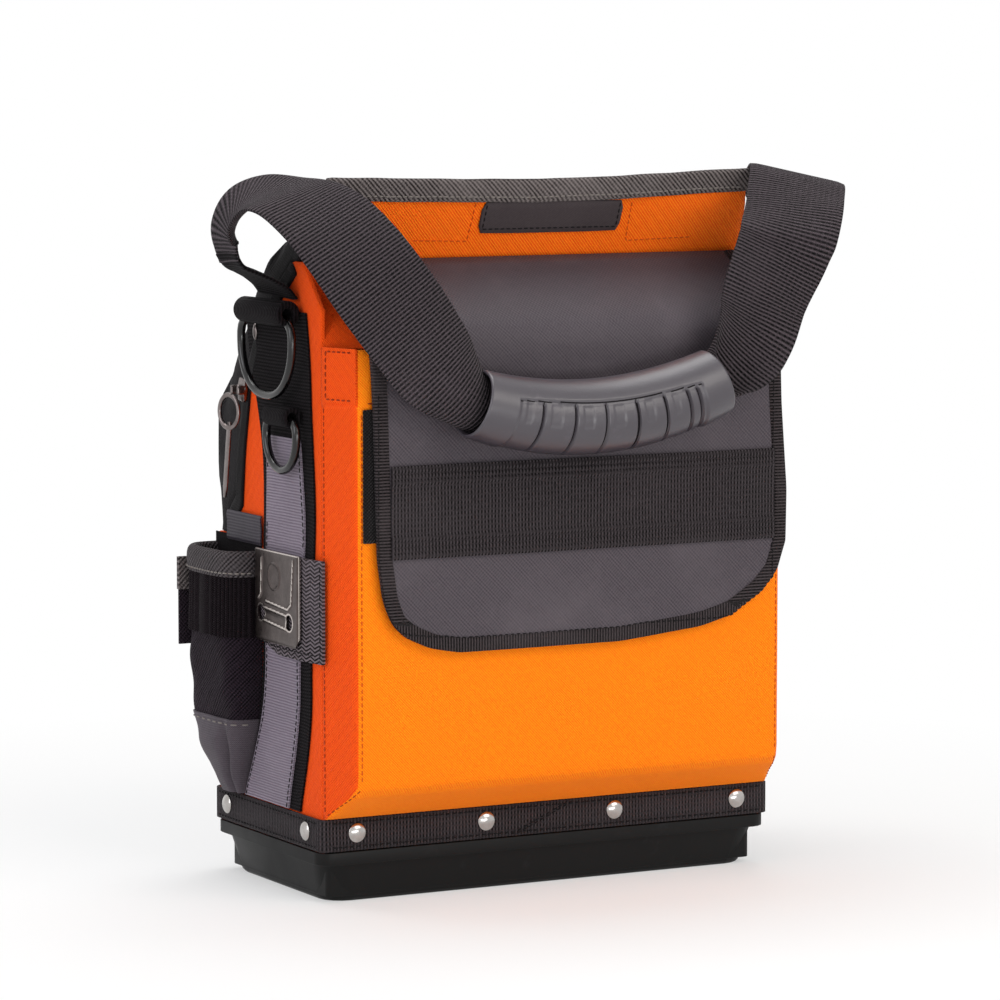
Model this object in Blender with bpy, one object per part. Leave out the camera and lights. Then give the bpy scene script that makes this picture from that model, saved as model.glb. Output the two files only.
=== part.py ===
"""Open-topped tool pouch: moulded tray, fabric body, flap, zipped rear door, webbing handle."""

import math

import bmesh
import bpy
from mathutils import Vector

for item in list(bpy.data.objects):
    bpy.data.objects.remove(item, do_unlink=True)

# Clearances and material thicknesses
gap = 0.0003
overrun = 0.012
fabric = 0.0023
webbing = 0.0020
tape = 0.0012
trim = 0.0010

# Moulded tray
tray_half_width = 0.1281
tray_half_depth = 0.0598
tray_height = 0.043
tray_wall = 0.0025
tray_floor = 0.003
tray_corner = 0.006
skirt_height = 0.020
skirt_rise = 0.007
skirt_foot_inset = 0.0031
skirt_flare = 0.0014
skirt_corner = 0.014
rim_overhang = 0.0044
rim_corner = 0.009
sole_chamfer = 0.0015

# Fabric body
body_height = 0.366
corner_round = 0.0020
band_corner = 0.005
door_hinge_height_share = 0.491803
door_hinge_height = body_height * door_hinge_height_share
bay_front_height_share = 0.827869
bay_front_height = body_height * bay_front_height_share
panel_thickness = 0.003
panel_top_inset = 0.0050
binding_height = 0.008
binding_overlap = 0.0008
front_depth = 0.0266
front_height_share = 0.775956
front_height = body_height * front_height_share
front_toe_height = 0.062
front_side_inset = 0.007
front_round = 0.005
hem_height = 0.029
hem_bump = 0.0005

# Flap
flap_half_width = 0.123
flap_thickness = 0.0020
flap_clearance = 0.0016
flap_binding_width = 0.0075
flap_binding_thickness = 0.0032
flap_hinge_height_share = 0.896175
flap_hinge_height = body_height * flap_hinge_height_share
flap_hinge_setback = 0.0021
flap_shoulder_height_share = 0.806011
flap_shoulder_height = body_height * flap_shoulder_height_share
flap_shoulder_setback = 0.004
flap_shoulder_drop = 0.0098
flap_bottom_share = 0.353825
flap_bottom = body_height * flap_bottom_share
loop_band_height = 0.041
loop_band_top_share = 0.61612
loop_band_top = body_height * loop_band_top_share
loop_band_rise = 0.003
hook_width = 0.018
hook_top_share = 0.702186
hook_top = body_height * hook_top_share
hook_height = 0.070

# Handle
strap_width = 0.0508
strap_thickness = 0.0025
handle_hinge_y = -0.019
handle_hinge_z_share = 0.89071
handle_hinge_z = body_height * handle_hinge_z_share
handle_hinge_x = 0.1605
neck_width = 0.034
grip_radius = 0.0178
grip_mouth_radius = 0.0215
grip_bore_radius = 0.0190
grip_bore_depth = 0.014
grip_half_length = 0.0700
grip_x = -0.0022
grip_lead = 0.0265
grip_mid_z_share = 0.677596
grip_mid_z = body_height * grip_mid_z_share
grip_bow = 0.0125
grip_tilt = 0.0030
grip_groove = 0.0007

# Side wall fittings
strip_width = 0.050
strip_rib_width = 0.038
strip_top_share = 0.819672
strip_top = body_height * strip_top_share
strip_rib_top_share = 0.644809
strip_rib_top = body_height * strip_rib_top_share
large_loop_radius = 0.0070
small_loop_radius = 0.0055
large_ring_width = 0.065
small_ring_width = 0.040
small_ring_drop = 0.030
ring_wire = 0.0024
bore_clearance = 0.0007
large_loop_z_share = 0.819672
large_loop_z = body_height * large_loop_z_share
small_loop_z_share = 0.67623
small_loop_z = body_height * small_loop_z_share
large_ring_drop_share = 0.86
large_ring_drop = (large_loop_z - small_loop_z) * large_ring_drop_share
large_loop_y = -0.0170
small_loop_y = -0.0310
clip_width = 0.052
clip_bottom_share = 0.355191
clip_bottom = body_height * clip_bottom_share
clip_height = 0.047
clip_plate = 0.0011
clip_standoff = 0.0016
clip_y = -0.0235
clip_webbing_depth = 0.0615
side_pocket_rear = 0.061
side_pocket_out = 0.0185
side_pocket_height_share = 0.45082
side_pocket_height = body_height * side_pocket_height_share
side_pocket_floor = 0.0450
side_pocket_wall = 0.0018
side_pocket_round = 0.006
side_pocket_taper = 0.005
mouth_binding_height = 0.0075
elastic_height = 0.027
satin_height = 0.010

# Fastenings
rivet_radius = 0.0053
rivet_dome = 0.0021
rivet_z = 0.0365
rivet_inner = 0.038
rivet_outer = 0.1125
rivet_side = 0.047
zip_tape_width = 0.008
slider_length = 0.012
slider_width = 0.009
slider_height = 0.004
slider_place_share = 0.93
pull_length = 0.056
pull_width = 0.006
pull_thickness = 0.0016
ear_height = 0.0042
ear_thickness = 0.0012
label_width = 0.083
label_height = 0.018
label_x = 0.008
label_drop = 0.0022

# Places that follow from the sizes above
panel_in_x = tray_half_width + gap
panel_out_x = panel_in_x + fabric
panel_in_y = tray_half_depth + gap
panel_out_y = panel_in_y + fabric
band_in_x = panel_out_x + gap
band_in_y = panel_out_y + gap
band_out_x = band_in_x + webbing
band_out_y = band_in_y + webbing
rim_top = skirt_height + skirt_rise
cloth_foot = rim_top + gap
band_top = tray_height + 4 * gap
front_rear_y = -(panel_out_y + gap)
front_face_y = front_rear_y - front_depth
front_foot = band_top + gap
flap_mid_y = front_face_y - hem_bump - flap_clearance - flap_binding_thickness / 2
depth_unit = panel_out_y
grip_reach = panel_out_y + front_depth + grip_lead
height_unit = body_height

# Outlines, as shares of the half depth and of the body height
zip_line_shares = (
    (0.761, 0.520),
    (0.690, 0.5355),
    (0.603, 0.5465),
    (0.431, 0.716),
    (0.190, 0.782),
    (-0.144, 0.844),
    (-0.497, 0.8905),
)
door_shares = (
    (1.000, 0.560),
    (1.000, 0.640),
    (0.975, 0.672),
    (0.865, 0.712),
    (0.640, 0.757),
    (0.420, 0.801),
    (0.200, 0.846),
    (0.000, 0.887),
    (-0.240, 0.917),
    (-0.500, 0.939),
)
centre_shares = (
    (0.006, 0.010),
    (-0.050, 0.119),
    (-0.054, 0.127),
    (-0.260, 0.430),
    (-0.481, 0.8197),
    (-0.560, 0.870),
    (-0.860, 0.985),
)


def linear(hex_colour):
    """Linear RGBA of an sRGB hex colour."""
    values = []
    for place in (1, 3, 5):
        value = int(hex_colour[place : place + 2], 16) / 255
        low = value / 12.92
        high = ((value + 0.055) / 1.055) ** 2.4
        values.append(low if value <= 0.04045 else high)
    return (*values, 1.0)


def material(name, hex_colour, roughness, metallic=0.0):
    made = bpy.data.materials.new(name)
    made.use_nodes = True
    made.diffuse_color = linear(hex_colour)
    shader = made.node_tree.nodes["Principled BSDF"]
    shader.inputs["Base Color"].default_value = linear(hex_colour)
    shader.inputs["Roughness"].default_value = roughness
    shader.inputs["Metallic"].default_value = metallic
    return made


black_plastic = material("black_plastic", "#1b1a1b", 0.45)
orange_fabric = material("orange_fabric", "#f4561b", 0.8)
black_webbing = material("black_webbing", "#1d1c1d", 0.85)
grey_webbing = material("grey_webbing", "#5a5553", 0.85)
grey_twill = material("grey_twill", "#4b4747", 0.8)
flap_fabric = material("flap_fabric", "#3b393b", 0.75)
black_nylon = material("black_nylon", "#232022", 0.8)
grip_rubber = material("grip_rubber", "#343234", 0.5)
bright_steel = material("bright_steel", "#b9b7b5", 0.25, 1.0)
dark_steel = material("dark_steel", "#6d655f", 0.4, 1.0)
satin_tape = material("satin_tape", "#8b8380", 0.5)
zip_tape = material("zip_tape", "#19181a", 0.7)


def build(name, mesh, look, origin=(0.0, 0.0, 0.0), smooth=None):
    """A named object from a bmesh in world places, with its origin at the given point."""
    centre = Vector(origin)
    bmesh.ops.translate(mesh, vec=-centre, verts=mesh.verts)
    bmesh.ops.recalc_face_normals(mesh, faces=mesh.faces)
    data = bpy.data.meshes.new(name)
    mesh.to_mesh(data)
    mesh.free()
    if smooth is not None:
        data.shade_smooth()
        data.set_sharp_from_angle(angle=math.radians(smooth))
    made = bpy.data.objects.new(name, data)
    made.location = centre
    data.materials.append(look)
    bpy.context.collection.objects.link(made)
    return made


def loft(loops, closed=False):
    """A closed solid through loops of equal length, capped at both ends or joined into a ring."""
    mesh = bmesh.new()
    rings = [[mesh.verts.new(point) for point in loop] for loop in loops]
    count = len(rings[0])
    pairs = list(zip(rings, rings[1:]))
    if closed:
        pairs.append((rings[-1], rings[0]))
    for first, second in pairs:
        for i in range(count):
            j = (i + 1) % count
            mesh.faces.new((first[i], first[j], second[j], second[i]))
    if not closed:
        mesh.faces.new(list(reversed(rings[0])))
        mesh.faces.new(rings[-1])
    return mesh


def slab(front, back):
    """A closed solid between two grids of points with the same rows and columns."""
    rows = len(front)
    cols = len(front[0])
    mesh = bmesh.new()
    near = [[mesh.verts.new(point) for point in row] for row in front]
    far = [[mesh.verts.new(point) for point in row] for row in back]
    for i in range(rows - 1):
        for j in range(cols - 1):
            mesh.faces.new((near[i][j], near[i + 1][j], near[i + 1][j + 1], near[i][j + 1]))
            mesh.faces.new((far[i][j], far[i][j + 1], far[i + 1][j + 1], far[i + 1][j]))
    for i in range(rows - 1):
        for j in (0, cols - 1):
            mesh.faces.new((near[i][j], far[i][j], far[i + 1][j], near[i + 1][j]))
    for j in range(cols - 1):
        for i in (0, rows - 1):
            mesh.faces.new((near[i][j], near[i][j + 1], far[i][j + 1], far[i][j]))
    return mesh


def block(low, high):
    """A box between two corners."""
    loops = []
    for z in (low[2], high[2]):
        loops.append(
            [
                (low[0], low[1], z),
                (high[0], low[1], z),
                (high[0], high[1], z),
                (low[0], high[1], z),
            ]
        )
    return loft(loops)


def rounded_rectangle(half_x, half_y, radius, z, steps=4):
    points = []
    corners = ((1, 1, 0), (-1, 1, 90), (-1, -1, 180), (1, -1, 270))
    for sign_x, sign_y, start in corners:
        for i in range(steps + 1):
            angle = math.radians(start + 90 * i / steps)
            x = sign_x * (half_x - radius) + radius * math.cos(angle)
            y = sign_y * (half_y - radius) + radius * math.sin(angle)
            points.append((x, y, z))
    return points


def side_plate(outline, side, x_in, thickness):
    """A plate standing in the side wall, from an outline in y and z."""
    loops = []
    for x in (x_in, x_in + thickness):
        loops.append([(side * x, y, z) for y, z in outline])
    return loft(loops)


def shared(shares):
    """Shares of the half depth and of the body height turned into places."""
    return [(y * depth_unit, z * height_unit) for y, z in shares]


def offset_path(path, distance):
    """The open path moved sideways by a distance, with mitred corners."""
    moved = []
    count = len(path)
    for i, (y, z) in enumerate(path):
        before = Vector(path[max(i - 1, 0)])
        after = Vector(path[min(i + 1, count - 1)])
        here = Vector((y, z))
        runs = []
        if i > 0:
            runs.append((here - before).normalized())
        if i < count - 1:
            runs.append((after - here).normalized())
        normal = sum((Vector((-run.y, run.x)) for run in runs), Vector((0.0, 0.0)))
        normal.normalize()
        first = Vector((-runs[0].y, runs[0].x))
        moved.append(here + normal * (distance / max(normal.dot(first), 0.5)))
    return [(point.x, point.y) for point in moved]


def line_at(path, z):
    """The y at height z on a path whose z rises."""
    for (y0, z0), (y1, z1) in zip(path, path[1:]):
        if z <= z1 or (y1, z1) == path[-1]:
            return y0 + (y1 - y0) * (z - z0) / (z1 - z0)
    return path[-1][0]


def subtract(target, cutter):
    """Cuts the cutter from the target."""
    cutter.hide_render = True
    cutter.display_type = "WIRE"
    cut = target.modifiers.new("cut_" + cutter.name, "BOOLEAN")
    cut.operation = "DIFFERENCE"
    cut.object = cutter
    cut.solver = "EXACT"


# Tray: flared skirt, proud rim and an inner wall that the fabric wraps
sole_half_x = tray_half_width - skirt_foot_inset
sole_half_y = tray_half_depth - skirt_foot_inset
skirt_half_x = tray_half_width + skirt_flare
skirt_half_y = tray_half_depth + skirt_flare
rim_half_x = tray_half_width + rim_overhang
rim_half_y = tray_half_depth + rim_overhang
inner_half_x = tray_half_width - tray_wall
inner_half_y = tray_half_depth - tray_wall
inner_corner = tray_corner - tray_wall
tray_sections = (
    (sole_half_x - sole_chamfer, sole_half_y - sole_chamfer, skirt_corner - sole_chamfer, 0.0),
    (sole_half_x, sole_half_y, skirt_corner, sole_chamfer),
    (skirt_half_x, skirt_half_y, skirt_corner, skirt_height),
    (rim_half_x, rim_half_y, rim_corner, skirt_height + gap),
    (rim_half_x, rim_half_y, rim_corner, rim_top - gap),
    (tray_half_width, tray_half_depth, tray_corner, rim_top),
    (tray_half_width, tray_half_depth, tray_corner, tray_height),
    (inner_half_x, inner_half_y, inner_corner, tray_height),
    (inner_half_x, inner_half_y, inner_corner, tray_floor),
)
tray = loft([rounded_rectangle(*section) for section in tray_sections])
build("base_tray", tray, black_plastic, smooth=35)

# Webbing band riveted round the foot of the fabric
band_loops = [
    rounded_rectangle(band_out_x, band_out_y, band_corner, cloth_foot),
    rounded_rectangle(band_out_x, band_out_y, band_corner, band_top),
    rounded_rectangle(band_in_x, band_in_y, corner_round, band_top),
    rounded_rectangle(band_in_x, band_in_y, corner_round, cloth_foot),
]
build("base_webbing", loft(band_loops, closed=True), black_webbing, smooth=35)


# Domed rivets through band, fabric and tray wall: outline as shares of radius and rise
dome_shares = ((0.0, 1.0), (0.45, 0.86), (0.8, 0.52), (1.0, 0.12), (1.0, 0.0), (0.0, 0.0))


def rivet(name, place, outward):
    """A domed head lying on the band, turned round its own axis."""
    out = Vector(outward)
    across = Vector((0.0, 0.0, 1.0))
    mesh = bmesh.new()
    line = []
    for radius_share, rise_share in dome_shares:
        spot = across * (rivet_radius * radius_share) + out * (rivet_dome * rise_share)
        line.append(mesh.verts.new(spot))
    edges = [mesh.edges.new(pair) for pair in zip(line, line[1:])]
    bmesh.ops.spin(
        mesh,
        geom=line + edges,
        cent=(0.0, 0.0, 0.0),
        axis=out,
        angle=math.tau,
        steps=12,
        use_merge=True,
    )
    bmesh.ops.remove_doubles(mesh, verts=mesh.verts, dist=gap / 10)
    bmesh.ops.translate(mesh, vec=Vector(place), verts=mesh.verts)
    build(name, mesh, bright_steel, origin=place, smooth=50)


rivet_y = band_out_y + gap
rivet_x = band_out_x + gap
row = (("outer_left", -rivet_outer), ("inner_left", -rivet_inner))
row += (("inner_right", rivet_inner), ("outer_right", rivet_outer))
for tag, x in row:
    rivet("rivet_front_" + tag, (x, -rivet_y, rivet_z), (0, -1, 0))
    rivet("rivet_back_" + tag, (x, rivet_y, rivet_z), (0, 1, 0))
for tag, side in (("left", -1), ("right", 1)):
    rivet("rivet_" + tag + "_front", (side * rivet_x, -rivet_side, rivet_z), (side, 0, 0))
    rivet("rivet_" + tag + "_rear", (side * rivet_x, rivet_side, rivet_z), (side, 0, 0))

# Side panels, cut back along the zip and sloped up to the centre panel in front
zip_line = shared(zip_line_shares)
door_foot = door_hinge_height
seam_rear = (zip_line[0][0], door_foot)
side_outline = [
    (-panel_out_y, cloth_foot),
    (panel_out_y, cloth_foot),
    (panel_out_y, door_foot),
    seam_rear,
    *zip_line,
    (-panel_out_y * 0.66, zip_line[-1][1]),
    (-panel_out_y, bay_front_height),
]


def soften_corners(mesh, half_y):
    """Rounds the upright outer edges that lie at the front and rear of a side panel."""
    picked = []
    for edge in mesh.edges:
        first, second = edge.verts
        upright = abs(first.co.y - second.co.y) < gap and abs(first.co.z - second.co.z) > fabric
        outer = min(abs(first.co.x), abs(second.co.x)) > panel_out_x - gap
        if upright and outer and abs(abs(first.co.y) - half_y) < gap:
            picked.append(edge)
    bmesh.ops.bevel(
        mesh,
        geom=picked,
        offset=corner_round,
        offset_type="OFFSET",
        segments=2,
        profile=0.5,
        affect="EDGES",
    )


for tag, side in (("left", -1), ("right", 1)):
    panel = side_plate(side_outline, side, panel_in_x, fabric)
    soften_corners(panel, panel_out_y)
    build("side_panel_" + tag, panel, orange_fabric)

# Lower back panel and the low front strip between the side panels
strip_top_z = front_foot + fabric
wall_half = tray_half_width
back_foot = block((-wall_half, panel_in_y, cloth_foot), (wall_half, panel_out_y, door_foot - gap))
build("back_panel", back_foot, black_nylon)
front_foot_panel = block((-wall_half, -panel_out_y, cloth_foot), (wall_half, -panel_in_y, strip_top_z))
build("front_lower_panel", front_foot_panel, orange_fabric)

# Centre panel, leaning forward above the flap seam
centre_line = shared(centre_shares)
centre_front = offset_path(centre_line, panel_thickness / 2)
centre_back = offset_path(centre_line, -panel_thickness / 2)


# Rise or sag of the top edge at five places across, as shares of the body height
width_shares = (-1.0, -0.5, 0.0, 0.5, 1.0)
top_rise_shares = (0.0, -0.004, -0.008, -0.003, 0.004)
lean = (Vector(centre_line[-1]) - Vector(centre_line[-2])).normalized()


def centre_half(z):
    """Half width of the centre panel: within the tray below, within the side panels above."""
    if z < tray_height + 4 * gap:
        return inner_half_x - gap
    rise = max(z - zip_line[-1][1], 0.0) / (body_height - zip_line[-1][1])
    return wall_half - panel_top_inset * rise


def centre_grid(path):
    grid = []
    for (y, z), (_, middle_z) in zip(path, centre_line):
        half = centre_half(middle_z)
        rises = top_rise_shares if middle_z == centre_line[-1][1] else (0.0,) * len(width_shares)
        row = []
        for share, rise in zip(width_shares, rises):
            shift = lean * (rise * body_height)
            row.append((half * share, y + shift.x, z + shift.y))
        grid.append(row)
    return grid


build("centre_panel", slab(centre_grid(centre_front), centre_grid(centre_back)), orange_fabric)

# Bound top edge of the centre panel
lean_out = Vector((-lean.y, lean.x))
top_edge = Vector(centre_line[-1]) + lean * gap
binding_half = panel_thickness / 2 + binding_overlap
corners = (
    top_edge + lean_out * binding_half,
    top_edge + lean_out * binding_half * 0.9 + lean * binding_height * 0.85,
    top_edge + lean * binding_height,
    top_edge - lean_out * binding_half * 0.9 + lean * binding_height * 0.85,
    top_edge - lean_out * binding_half,
)
top_half = centre_half(centre_line[-1][1])
binding_loops = []
for share, rise in zip(width_shares, top_rise_shares):
    shift = lean * (rise * body_height)
    binding_loops.append([(top_half * share, spot.x + shift.x, spot.y + shift.y) for spot in corners])
build("top_binding", loft(binding_loops), grey_twill)

# Bare label patch sewn below the binding
label_fall = label_drop - min(top_rise_shares) * body_height
label_top = Vector(centre_front[-1]) - lean * label_fall + lean_out * gap
label_low = label_top - lean * label_height
label_x_low = label_x - label_width / 2
label_x_high = label_x + label_width / 2
label_front = []
label_back = []
for spot in (label_low, label_top):
    out = spot + lean_out * trim
    label_front.append([(label_x_low, out.x, out.y), (label_x_high, out.x, out.y)])
    label_back.append([(label_x_low, spot.x, spot.y), (label_x_high, spot.x, spot.y)])
build("label_patch", slab(label_front, label_back), grey_webbing)

# Rear door: curved back and roof with side returns that carry half of the zip
door_skin = [(panel_out_y, door_foot + gap), *shared(door_shares)]
roof_slope = Vector(door_skin[-1]) - Vector(door_skin[-2])
panel_back_y = line_at(centre_back, door_skin[-1][1] + fabric)
roof_run = (panel_back_y + gap * 3 - door_skin[-1][0]) / roof_slope.x
roof_end = Vector(door_skin[-1]) + roof_slope * roof_run
door_skin.append((roof_end.x, roof_end.y))
return_line = offset_path([seam_rear, *zip_line], -gap)
return_line[0] = (seam_rear[0] + gap, door_foot + gap)
return_line[-1] = (return_line[-1][0] + gap, return_line[-1][1])
return_top = (line_at(centre_back, return_line[-1][1] + fabric) + gap * 3, return_line[-1][1] + gap)
door_outline = [*door_skin, return_top, *reversed(return_line)]
door_inner = offset_path(door_skin, fabric)
cut_far_y = door_inner[-1][0] - overrun
inner_slope = Vector(door_inner[-1]) - Vector(door_inner[-2])
cut_far_z = door_inner[-1][1] + inner_slope.y / inner_slope.x * -overrun
cut_outline = [
    (door_inner[0][0], door_foot - overrun),
    *door_inner[1:],
    (cut_far_y, cut_far_z),
    (cut_far_y, door_foot - overrun),
]


def across_body(outline, half):
    return loft([[(x, y, z) for y, z in outline] for x in (-half, half)])


door_origin = (0.0, panel_out_y, door_foot)
door = build("rear_door", across_body(door_outline, panel_out_x), black_nylon, door_origin, 30)
door_cutter = build("rear_door_hollow", across_body(cut_outline, panel_in_x), black_nylon)
subtract(door, door_cutter)


# Front pocket: bellows sides, toe sloping up from the band, folded hem
def pocket_loop(z, rear, front, half_rear, half_front, radius, steps=3):
    """A plan outline, wide at the rear, with two rounded front corners."""
    points = [(-half_rear, rear, z)]
    for side in (-1, 1):
        corner = Vector((side * half_front, front))
        rear_run = (Vector((side * half_rear, rear)) - corner).normalized()
        front_run = Vector((-side, 0.0))
        begin = corner + (rear_run if side < 0 else front_run) * radius
        end = corner + (front_run if side < 0 else rear_run) * radius
        for i in range(steps + 1):
            share = i / steps
            spot = begin * (1 - share) ** 2 + corner * 2 * share * (1 - share) + end * share**2
            points.append((spot.x, spot.y, z))
    points.append((half_rear, rear, z))
    return points


def front_half(y, inset=0.0):
    share = (front_rear_y - y) / front_depth
    return panel_out_x - inset - front_side_inset * share


hem_foot = front_height - hem_height
toe_rise = front_toe_height - front_foot
toe_shares = ((0.0, 0.0866), (0.35, 0.40), (0.75, 0.80), (1.0, 0.96), (1.33, 1.0))


def front_levels(inset):
    """Heights and front faces of the pocket, moved in by the inset."""
    levels = []
    for rise_share, depth_share in toe_shares:
        z = front_foot + toe_rise * rise_share
        levels.append((z + inset, front_rear_y - front_depth * depth_share + inset, inset))
    if inset:
        levels.append((front_height + overrun, front_face_y + inset, inset))
        return levels
    levels.append((hem_foot - hem_bump, front_face_y, 0.0))
    levels.append((hem_foot, front_face_y - hem_bump, -hem_bump))
    levels.append((front_height, front_face_y - hem_bump, -hem_bump))
    return levels


def front_solid(inset):
    loops = []
    rear = front_rear_y + (overrun if inset else 0.0)
    for z, front, side_inset in front_levels(inset):
        half_rear = front_half(rear, side_inset)
        half_front = front_half(front, side_inset)
        radius = min(front_round, (rear - front) * 0.45)
        loops.append(pocket_loop(z, rear, front, half_rear, half_front, radius))
    return loft(loops)


front_pocket = build("front_pocket", front_solid(0.0), orange_fabric, smooth=30)
front_cutter = build("front_pocket_hollow", front_solid(fabric), orange_fabric)
subtract(front_pocket, front_cutter)

# Hook strip at the left of the front face, below the hem
hook_left = -(front_half(front_face_y) - front_round * 0.5)
hook_low = (hook_left, front_face_y - gap - trim, hook_top - hook_height)
hook_high = (hook_left + hook_width, front_face_y - gap, min(hook_top, hem_foot - gap - hem_bump))
build("hook_strip", block(hook_low, hook_high), black_webbing)

# Flap, in its own run s from the seam down over the shoulder to the hem
seam_y = line_at(centre_front, flap_hinge_height)
flap_seam = (seam_y - flap_hinge_setback, flap_hinge_height - flap_hinge_setback)
shoulder = (flap_mid_y + flap_shoulder_setback, flap_shoulder_height)
under_shoulder = (flap_mid_y, flap_shoulder_height - flap_shoulder_drop)
flap_path = [flap_seam]
for share in (0.33, 0.66):
    y = flap_seam[0] + (shoulder[0] - flap_seam[0]) * share
    z = flap_seam[1] + (shoulder[1] - flap_seam[1]) * share
    flap_path.append((y, z))
flap_path.append(shoulder)
flap_path.append(under_shoulder)
flap_drop = under_shoulder[1] - flap_bottom
for share in (0.1, 0.22, 0.36, 0.5, 0.62, 0.72, 0.8, 0.86, 0.9, 0.93, 0.955, 0.975, 0.99, 1.0):
    flap_path.append((flap_mid_y, under_shoulder[1] - flap_drop * share))

# Left and right edges of the flap at shares of its fall from seam to bottom
left_edge_shares = (
    (0.000, -1.000),
    (0.190, -0.965),
    (0.360, -0.951),
    (0.750, -0.931),
    (0.860, -0.905),
    (0.920, -0.865),
    (0.955, -0.800),
    (0.985, -0.690),
    (1.000, -0.560),
)
right_edge_shares = (
    (0.000, 1.000),
    (0.190, 0.975),
    (0.390, 0.984),
    (0.620, 1.012),
    (0.760, 1.008),
    (0.840, 0.965),
    (0.895, 0.885),
    (0.950, 0.740),
    (0.975, 0.590),
    (1.000, 0.200),
)


def edge_at(table, fall):
    for (f0, x0), (f1, x1) in zip(table, table[1:]):
        if fall <= f1:
            return flap_half_width * (x0 + (x1 - x0) * (fall - f0) / (f1 - f0))
    return flap_half_width * table[-1][1]


flap_fall = flap_seam[1] - flap_bottom


def flap_outline(inset):
    """The left edge from seam to bottom, the bottom, then the right edge up to the seam."""
    outline = [(flap_half_width * x, flap_seam[1] - flap_fall * f) for f, x in left_edge_shares]
    outline += [(flap_half_width * x, flap_seam[1] - flap_fall * f) for f, x in reversed(right_edge_shares)]
    dense = []
    for (x0, z0), (x1, z1) in zip(outline, outline[1:]):
        for share in (0.0, 0.5):
            dense.append((x0 + (x1 - x0) * share, z0 + (z1 - z0) * share))
    dense.append(outline[-1])
    return offset_path(dense, inset) if inset else dense


def flap_surface(x, z, lift):
    """A point over the flap's middle surface at a height, lifted along its normal."""
    heights = [spot[1] for spot in flap_path]
    z = min(z, heights[0])
    for i in range(len(flap_path) - 1):
        (y0, z0), (y1, z1) = flap_path[i], flap_path[i + 1]
        if z >= z1 or i == len(flap_path) - 2:
            share = (z0 - z) / (z0 - z1)
            y = y0 + (y1 - y0) * share
            break
    if z >= shoulder[1]:
        blend = 0.0
    else:
        blend = min((shoulder[1] - z) / (shoulder[1] - under_shoulder[1]), 1.0)
    slope = Vector((shoulder[0] - flap_seam[0], shoulder[1] - flap_seam[1])).normalized()
    top_normal = Vector((slope.y, -slope.x))
    normal = (top_normal * (1 - blend) + Vector((-1.0, 0.0)) * blend).normalized()
    return (x, y + normal.x * lift, z + normal.y * lift)


flap_origin = (0.0, seam_y, flap_hinge_height)
rim_outer = flap_outline(0.0)
rim_inner = flap_outline(flap_binding_width)
rim_inner[0] = (rim_inner[0][0], rim_outer[0][1])
rim_inner[-1] = (rim_inner[-1][0], rim_outer[-1][1])
half_bind = flap_binding_thickness / 2
binding_sections = []
for (xo, zo), (xi, zi) in zip(rim_outer, rim_inner):
    binding_sections.append(
        [
            flap_surface(xo, zo, half_bind),
            flap_surface(xi, zi, half_bind),
            flap_surface(xi, zi, -half_bind),
            flap_surface(xo, zo, -half_bind),
        ]
    )
build("flap_binding", loft(binding_sections), black_webbing, flap_origin)

panel_edge = flap_outline(flap_binding_width + gap)
lowest = min(range(len(panel_edge)), key=lambda i: panel_edge[i][1])
left_side = panel_edge[: lowest + 1]
right_side = list(reversed(panel_edge[lowest:]))


def cross(branch, z):
    for (x0, z0), (x1, z1) in zip(branch, branch[1:]):
        if z0 >= z >= z1 and z0 > z1:
            return x0 + (x1 - x0) * (z0 - z) / (z0 - z1)
    return branch[0][0] if z > branch[0][1] else branch[-1][0]


flap_low = panel_edge[lowest][1]
rows = [z for _, z in flap_path if z > flap_low + fabric] + [flap_low + fabric * 0.5]
flap_front = []
flap_back = []
for z in rows:
    x_left = cross(left_side, z)
    x_right = cross(right_side, z)
    line = [x_left + (x_right - x_left) * share for share in (0.0, 0.25, 0.5, 0.75, 1.0)]
    flap_front.append([flap_surface(x, z, flap_thickness / 2) for x in line])
    flap_back.append([flap_surface(x, z, -flap_thickness / 2) for x in line])
build("flap", slab(flap_front, flap_back), flap_fabric, flap_origin)

# Loop webbing sewn across the flap
loop_lift = flap_thickness / 2 + gap
loop_front = []
loop_back = []
for z_drop in (loop_band_height, 0.0):
    line_front = []
    line_back = []
    for share in (0.0, 1.0):
        z = loop_band_top - loop_band_rise * (1 - share) * 2 - z_drop
        x = cross(left_side if share == 0.0 else right_side, z)
        x += gap * (1 - 2 * share)
        line_front.append(flap_surface(x, z, loop_lift + tape))
        line_back.append(flap_surface(x, z, loop_lift))
    loop_front.append(line_front)
    loop_back.append(line_back)
build("flap_webbing", slab(loop_front, loop_back), black_webbing, flap_origin)

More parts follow.
